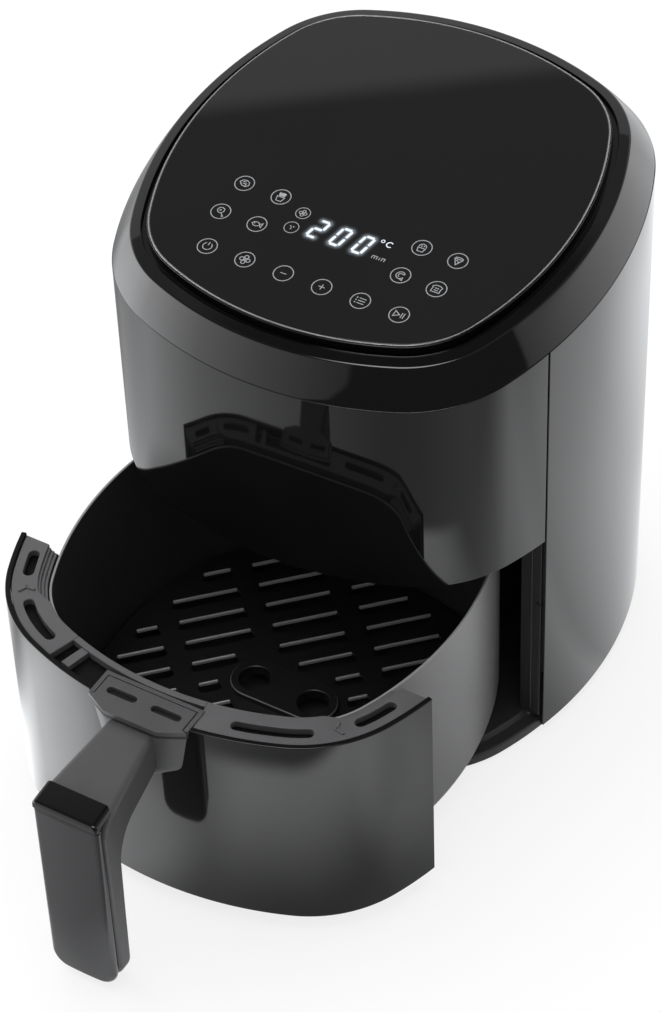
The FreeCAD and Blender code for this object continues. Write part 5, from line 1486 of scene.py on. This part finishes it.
# Lit figures of seven strokes: a at the top, b and c down the right, d at the foot, e and f up the left,
# and g between them
figures = {
    "shown": "200",
    "lit": {"2": "abged", "0": "abcdef"},
    "left": (-13.5, 0, 13.3),
    "low": -56,
    "high": -42.2,
    "width": 7,
    "slant": 2.7,
    "stroke": 1.6,
    "gap": 0.42,
    "point": 0.5,
    "shoulder": 0.3,
    "degreeRing": (26.3, -42.5, 0.9, 0.5),
    "unitArc": ((30.7, -43.4), 1.7, 45, 315, 20),
    "unitLine": 0.6,
}
glow = {"reach": 1.5, "peak": 0.32, "tint": (0.82, 0.92, 1), "across": (-20, 27), "along": (-62, -36.5),
        "fine": 2, "lift": 0.004, "thick": 0.01}


def figureStrokes():
    # The middle lines of the lit strokes, as pairs of points on the glass
    tall = figures["high"] - figures["low"]
    wide, thick = figures["width"], figures["stroke"]
    half = tall / 2
    ends = {"a": ((0, tall), (wide, tall)), "b": ((wide, half), (wide, tall)),
            "c": ((wide, 0), (wide, half)), "d": ((0, 0), (wide, 0)), "e": ((0, 0), (0, half)),
            "f": ((0, half), (0, tall)), "g": ((0, half), (wide, half))}
    strokes = []
    for left, figure in zip(figures["left"], figures["shown"]):
        for stroke in figures["lit"][figure]:
            pair = []
            for x, y in ends[stroke]:
                x += thick / 2 - thick * x / wide
                y += thick / 2 - thick * y / tall
                pair.append(Vector((left + x + figures["slant"] / tall * y, figures["low"] + y)))
            run = (pair[1] - pair[0]).normalized() * thick * figures["gap"]
            strokes.append((pair[0] + run, pair[1] - run))
    return strokes


def makeFigures():
    bm = bmesh.new()
    for low, high in figureStrokes():
        run = (high - low).normalized() * (figures["stroke"] / 2)
        side = Vector((-run.y, run.x))
        point, shoulder = run * figures["point"], run * figures["shoulder"]
        markShape(bm, [low - point, low + shoulder + side, high - shoulder + side, high + point,
                       high - shoulder - side, low + shoulder - side])
    markRing(bm, *figures["degreeRing"])
    markLine(bm, arc(*figures["unitArc"]), figures["unitLine"])
    raiseMarks(bm)
    finishPiece(bm, "lit_figures", "body", "display_window", place="top", material=litDigit,
                weighted=False)


def makeGlow():
    # The soft halo round the figures, kept as a colour on each point of a film over the glass
    strokes = figureStrokes()
    (left, right), (low, high) = glow["across"], glow["along"]
    wide, tall = right - left, high - low
    bm = bmesh.new()
    columns, rows = round(wide * glow["fine"]), round(tall * glow["fine"])
    bmesh.ops.create_grid(bm, x_segments=columns, y_segments=rows, size=0.5)
    bmesh.ops.scale(bm, verts=bm.verts, vec=(wide, tall, 1))
    bmesh.ops.translate(bm, verts=bm.verts, vec=((left + right) / 2, (low + high) / 2, 0))
    raiseMarks(bm, touchGlass["high"] + glow["lift"], glow["thick"])
    halo = bm.verts.layers.float_color.new("glow")
    for vert in bm.verts:
        away = []
        for first, last in strokes:
            run = last - first
            share = (vert.co.xy - first).dot(run) / run.length_squared
            away.append((vert.co.xy - first - run * min(1, max(0, share))).length)
        level = glow["peak"] * math.exp(-(min(away) / glow["reach"]) ** 2)
        vert[halo] = (*[part * level for part in glow["tint"]], 1)
    finishPiece(bm, "figure_halo", "body", "touch_glass", place="top", material=haloFilm(),
                weighted=False)


def haloFilm():
    material = glossPlastic("haloFilm", *glassLook)
    tree = material.node_tree
    shader = tree.nodes["Principled BSDF"]
    halo = addNode(tree, "Attribute", attribute_name="glow")
    tree.links.new(halo.outputs["Color"], shader.inputs["Emission Color"])
    shader.inputs["Emission Strength"].default_value = 1
    return material


makeMarks()
makeFigures()
makeGlow()
print("marks done")

# Floor, studio and light, in metres
studio = {
    "floorSize": 6,
    "floorColour": (0.86, 0.86, 0.86),
    "floorRough": 0.9,
    "floorWhite": 1.11,
    "floorShade": 0.72,
    "mirrorTint": (0.975, 0.985, 1, 1),
    "mirrorPools": (((0.32, 0.17), 0.36, 0.08, 1.15), ((0.15, 0.5), 0.32, 0.1, 0.9)),
    "drawerPools": (((-0.15, -0.27), 0.11, 0.03, 1.7), ((-0.04, -0.29), 0.07, 0.02, 0.9),
                    ((-0.21, -0.17), 0.09, 0.03, -0.8), ((0.22, -0.19), 0.09, 0.03, 0.5)),
    "drawerArc": (0.26, 0.36, 0.378, 1.4),
    "drawerArcEnds": ((-5, 10), (60, 35)),
    "nearSides": ((-180, 0.42), (-125, 0.42), (-109, 0.38), (-100, 0.36), (-90, 0.7), (-73, 1.15),
                  (-60, 1.68), (-50, 1.43), (-41, 1.16), (-23, 0.93), (-4, 0.62), (16, 0.36),
                  (32, 0.39), (47, 0.49), (62, 0.57), (76, 0.5), (91, 0.75), (97, 0.42), (180, 0.42)),
    "sides": ((-180, 1.3), (-126, 0.72), (-114, 1.25), (-101, 2.1), (-87, 3.5), (-75, 4.4), (-62, 4.4),
              (-49, 2.8), (-41, 1.95), (-25, 1.15), (-8, 0.6), (0, 0.42), (94, 0.42), (97, 0.7),
              (102, 0.9), (119, 1.7), (134, 2.25), (156, 2.6), (170, 1.9), (180, 1.3)),
    "sidesFrom": (0.5, 0.9),
    "sidesMiddle": -0.09,
    "frontLevel": 0.13,
    "frontFrom": (-0.02, 0.02),
    "frontTo": (96, 94.5),
    "frontLean": (0.13, 5),
    "upperLevel": 0.8,
    "upperFrom": (0.14, 0.26),
    "overheadLevel": 0.3,
    "overheadFrom": (0.4, 0.5),
    "overheadBack": (-0.5, -0.2),
    "zenithLevel": 0.08,
    "zenithFrom": (0.84, 0.9),
    "wedgeLevel": 0.76,
    "wedgeWay": (-0.3793, 0.6634, -0.645),
    "wedgeEdge": (-0.004, 0.004),
    "stripLevel": 7,
    "stripForth": (-0.25, -0.4),
    "stripHeight": (0.72, 0.76),
    "stripAcross": (-0.3, -0.1),
    "skyLevel": (0.77, 0.33),
    "sunPower": 1.6,
    "sunAngle": 70,
    "sunTurn": (-14, -18),
}


def maskNode(tree, source, low, high):
    return rangeNode(tree, source, low, high, interpolation_type="SMOOTHSTEP")


def feed(tree, sockets, values):
    # Sets plain numbers and links the outputs of other nodes
    for socket, value in zip(sockets, values):
        if isinstance(value, (int, float)):
            socket.default_value = value
        else:
            tree.links.new(value, socket)


def mathNode(tree, operation, *values):
    node = addNode(tree, "Math", operation=operation)
    feed(tree, node.inputs, values)
    return node.outputs[0]


def productOf(tree, *values):
    total = values[0]
    for value in values[1:]:
        total = mathNode(tree, "MULTIPLY", total, value)
    return total


def blendNode(tree, mask, first, second):
    # The first value where the mask is 0 and the second where it is 1
    node = addNode(tree, "Mix", data_type="FLOAT")
    feed(tree, node.inputs[:1] + node.inputs[2:4], (mask, first, second))
    return node.outputs[0]


def dotNode(tree, source, direction):
    node = addNode(tree, "VectorMath", operation="DOT_PRODUCT")
    tree.links.new(source, node.inputs[0])
    node.inputs[1].default_value = Vector(direction).normalized()
    return node.outputs["Value"]


def turnNode(tree, across, forth):
    # The way round the object: front is 0 and right is a quarter turn
    return mathNode(tree, "ARCTAN2", across, productOf(tree, forth, -1))


def roundLevel(tree, turn, stops):
    # A level that changes round the object, from stops of (degrees, level)
    ramp = addNode(tree, "ValToRGB")
    peak = max(level for _, level in stops)
    elements = ramp.color_ramp.elements
    for i, (degrees, level) in enumerate(stops):
        element = elements[0]
        if i:
            element = elements[-1] if i == len(stops) - 1 else elements.new(degrees / 360 + 0.5)
        element.color = (level / peak, level / peak, level / peak, 1)
    tree.links.new(rangeNode(tree, turn, -math.pi, math.pi), ramp.inputs["Fac"])
    return productOf(tree, ramp.outputs["Color"], peak)


def sideLevel(tree, turn, shift=0):
    # The studio's sides, with a dark stretch in front
    ends = [math.radians(degrees) for degrees in studio["frontTo"]]
    begins = maskNode(tree, mathNode(tree, "ADD", turn, shift), *studio["frontFrom"])
    dark = productOf(tree, begins, maskNode(tree, turn, *ends))
    return blendNode(tree, dark, roundLevel(tree, turn, studio["sides"]), studio["frontLevel"])


def poolLevel(tree, place, spot, reach, core, gain):
    away = addNode(tree, "VectorMath", operation="DISTANCE")
    tree.links.new(place, away.inputs[0])
    away.inputs[1].default_value = (*spot, 0)
    return productOf(tree, maskNode(tree, away.outputs["Value"], reach, core), gain)


def mirrorLevel(tree):
    # What the floor shows in the object's mirror images
    place = addNode(tree, "TexCoord").outputs["Object"]
    across = dotNode(tree, place, (1, 0, 0))
    forth = dotNode(tree, place, (0, 1, 0))
    length = addNode(tree, "VectorMath", operation="LENGTH")
    tree.links.new(place, length.inputs[0])
    reach = length.outputs["Value"]
    turn = turnNode(tree, across, forth)
    low, peak, end, gain = studio["drawerArc"]
    masks = [maskNode(tree, reach, low, peak), maskNode(tree, reach, end, peak)]
    for ends in studio["drawerArcEnds"]:
        masks.append(maskNode(tree, turn, *[math.radians(degrees) for degrees in ends]))
    bright = productOf(tree, *masks, gain)
    for pool in studio["drawerPools"]:
        bright = mathNode(tree, "ADD", bright, poolLevel(tree, place, *pool))
    level = mathNode(tree, "ADD", roundLevel(tree, turn, studio["nearSides"]), bright)
    for pool in studio["mirrorPools"]:
        level = mathNode(tree, "ADD", level, poolLevel(tree, place, *pool))
    farForth = mathNode(tree, "SUBTRACT", forth, studio["sidesMiddle"])
    far = sideLevel(tree, turnNode(tree, across, farForth))
    return blendNode(tree, maskNode(tree, reach, *studio["sidesFrom"]), level, far)


def makeFloor():
    # White with the object's shadow on it, and with light and dark stretches in mirror images
    bm = bmesh.new()
    bmesh.ops.create_grid(bm, x_segments=1, y_segments=1, size=studio["floorSize"] / 2)
    mesh = bpy.data.meshes.new("studioFloor")
    bm.to_mesh(mesh)
    bm.free()
    material = bpy.data.materials.new("studioFloor")
    material.use_nodes = True
    tree = material.node_tree
    shader = tree.nodes["Principled BSDF"]
    shader.inputs["Base Color"].default_value = (*studio["floorColour"], 1)
    shader.inputs["Roughness"].default_value = studio["floorRough"]
    shader.inputs["Specular IOR Level"].default_value = 0
    mirror = addNode(tree, "Emission")
    mirror.inputs["Color"].default_value = studio["mirrorTint"]
    tree.links.new(mirrorLevel(tree), mirror.inputs["Strength"])
    white = addNode(tree, "Emission")
    white.inputs["Strength"].default_value = studio["floorWhite"]
    path = addNode(tree, "LightPath")
    paler = productOf(tree, path.outputs["Is Camera Ray"], studio["floorShade"])
    surface = shader.outputs[0]
    for mask, other in ((paler, white), (path.outputs["Is Glossy Ray"], mirror)):
        mix = addNode(tree, "MixShader")
        tree.links.new(mask, mix.inputs["Fac"])
        tree.links.new(surface, mix.inputs[1])
        tree.links.new(other.outputs[0], mix.inputs[2])
        surface = mix.outputs[0]
    tree.links.new(surface, tree.nodes["Material Output"].inputs["Surface"])
    mesh.materials.append(material)
    floor = bpy.data.objects.new("studioFloor", mesh)
    scene.collection.objects.link(floor)


def makeWorld():
    # Lit round the sides and behind, dark in front and overhead, with a strip high over the front
    world = bpy.data.worlds.new("studioWorld")
    scene.world = world
    world.use_nodes = True
    tree = world.node_tree
    background = tree.nodes["Background"]
    way = addNode(tree, "TexCoord").outputs["Generated"]
    across = dotNode(tree, way, (1, 0, 0))
    forth = dotNode(tree, way, (0, 1, 0))
    height = dotNode(tree, way, (0, 0, 1))
    leanHigh, lean = studio["frontLean"]
    low = mathNode(tree, "MAXIMUM", mathNode(tree, "SUBTRACT", leanHigh, height), 0)
    shift = productOf(tree, mathNode(tree, "POWER", low, 2), lean)
    sides = sideLevel(tree, turnNode(tree, across, forth), shift)
    limited = mathNode(tree, "MINIMUM", sides, studio["upperLevel"])
    sides = blendNode(tree, maskNode(tree, height, *studio["upperFrom"]), sides, limited)
    behind = maskNode(tree, forth, *studio["overheadBack"])
    shown = blendNode(tree, behind, studio["frontLevel"], studio["overheadLevel"])
    shown = blendNode(tree, maskNode(tree, height, *studio["zenithFrom"]), shown, studio["zenithLevel"])
    shown = blendNode(tree, maskNode(tree, height, *studio["overheadFrom"]), sides, shown)
    wedge = maskNode(tree, dotNode(tree, way, studio["wedgeWay"]), *studio["wedgeEdge"])
    shown = blendNode(tree, wedge, shown, mathNode(tree, "MAXIMUM", shown, studio["wedgeLevel"]))
    strip = productOf(tree, maskNode(tree, forth, *studio["stripForth"]),
                      maskNode(tree, height, *studio["stripHeight"]),
                      maskNode(tree, across, *studio["stripAcross"]))
    shown = blendNode(tree, strip, shown, studio["stripLevel"])
    path = addNode(tree, "LightPath")
    seen = mathNode(tree, "MAXIMUM", path.outputs["Is Glossy Ray"], path.outputs["Is Transmission Ray"])
    sky = rangeNode(tree, across, -1, 1, *studio["skyLevel"])
    level = blendNode(tree, seen, sky, shown)
    level = blendNode(tree, path.outputs["Is Camera Ray"], level, 1)
    background.inputs["Color"].default_value = (1, 1, 1, 1)
    tree.links.new(level, background.inputs["Strength"])


def makeLight():
    lamp = bpy.data.lights.new("overheadSoftLight", "SUN")
    lamp.energy = studio["sunPower"]
    lamp.angle = math.radians(studio["sunAngle"])
    holder = bpy.data.objects.new("overheadSoftLight", lamp)
    holder.rotation_euler = (*[math.radians(degrees) for degrees in studio["sunTurn"]], 0)
    holder.visible_glossy = False
    scene.collection.objects.link(holder)


makeFloor()
makeWorld()
makeLight()
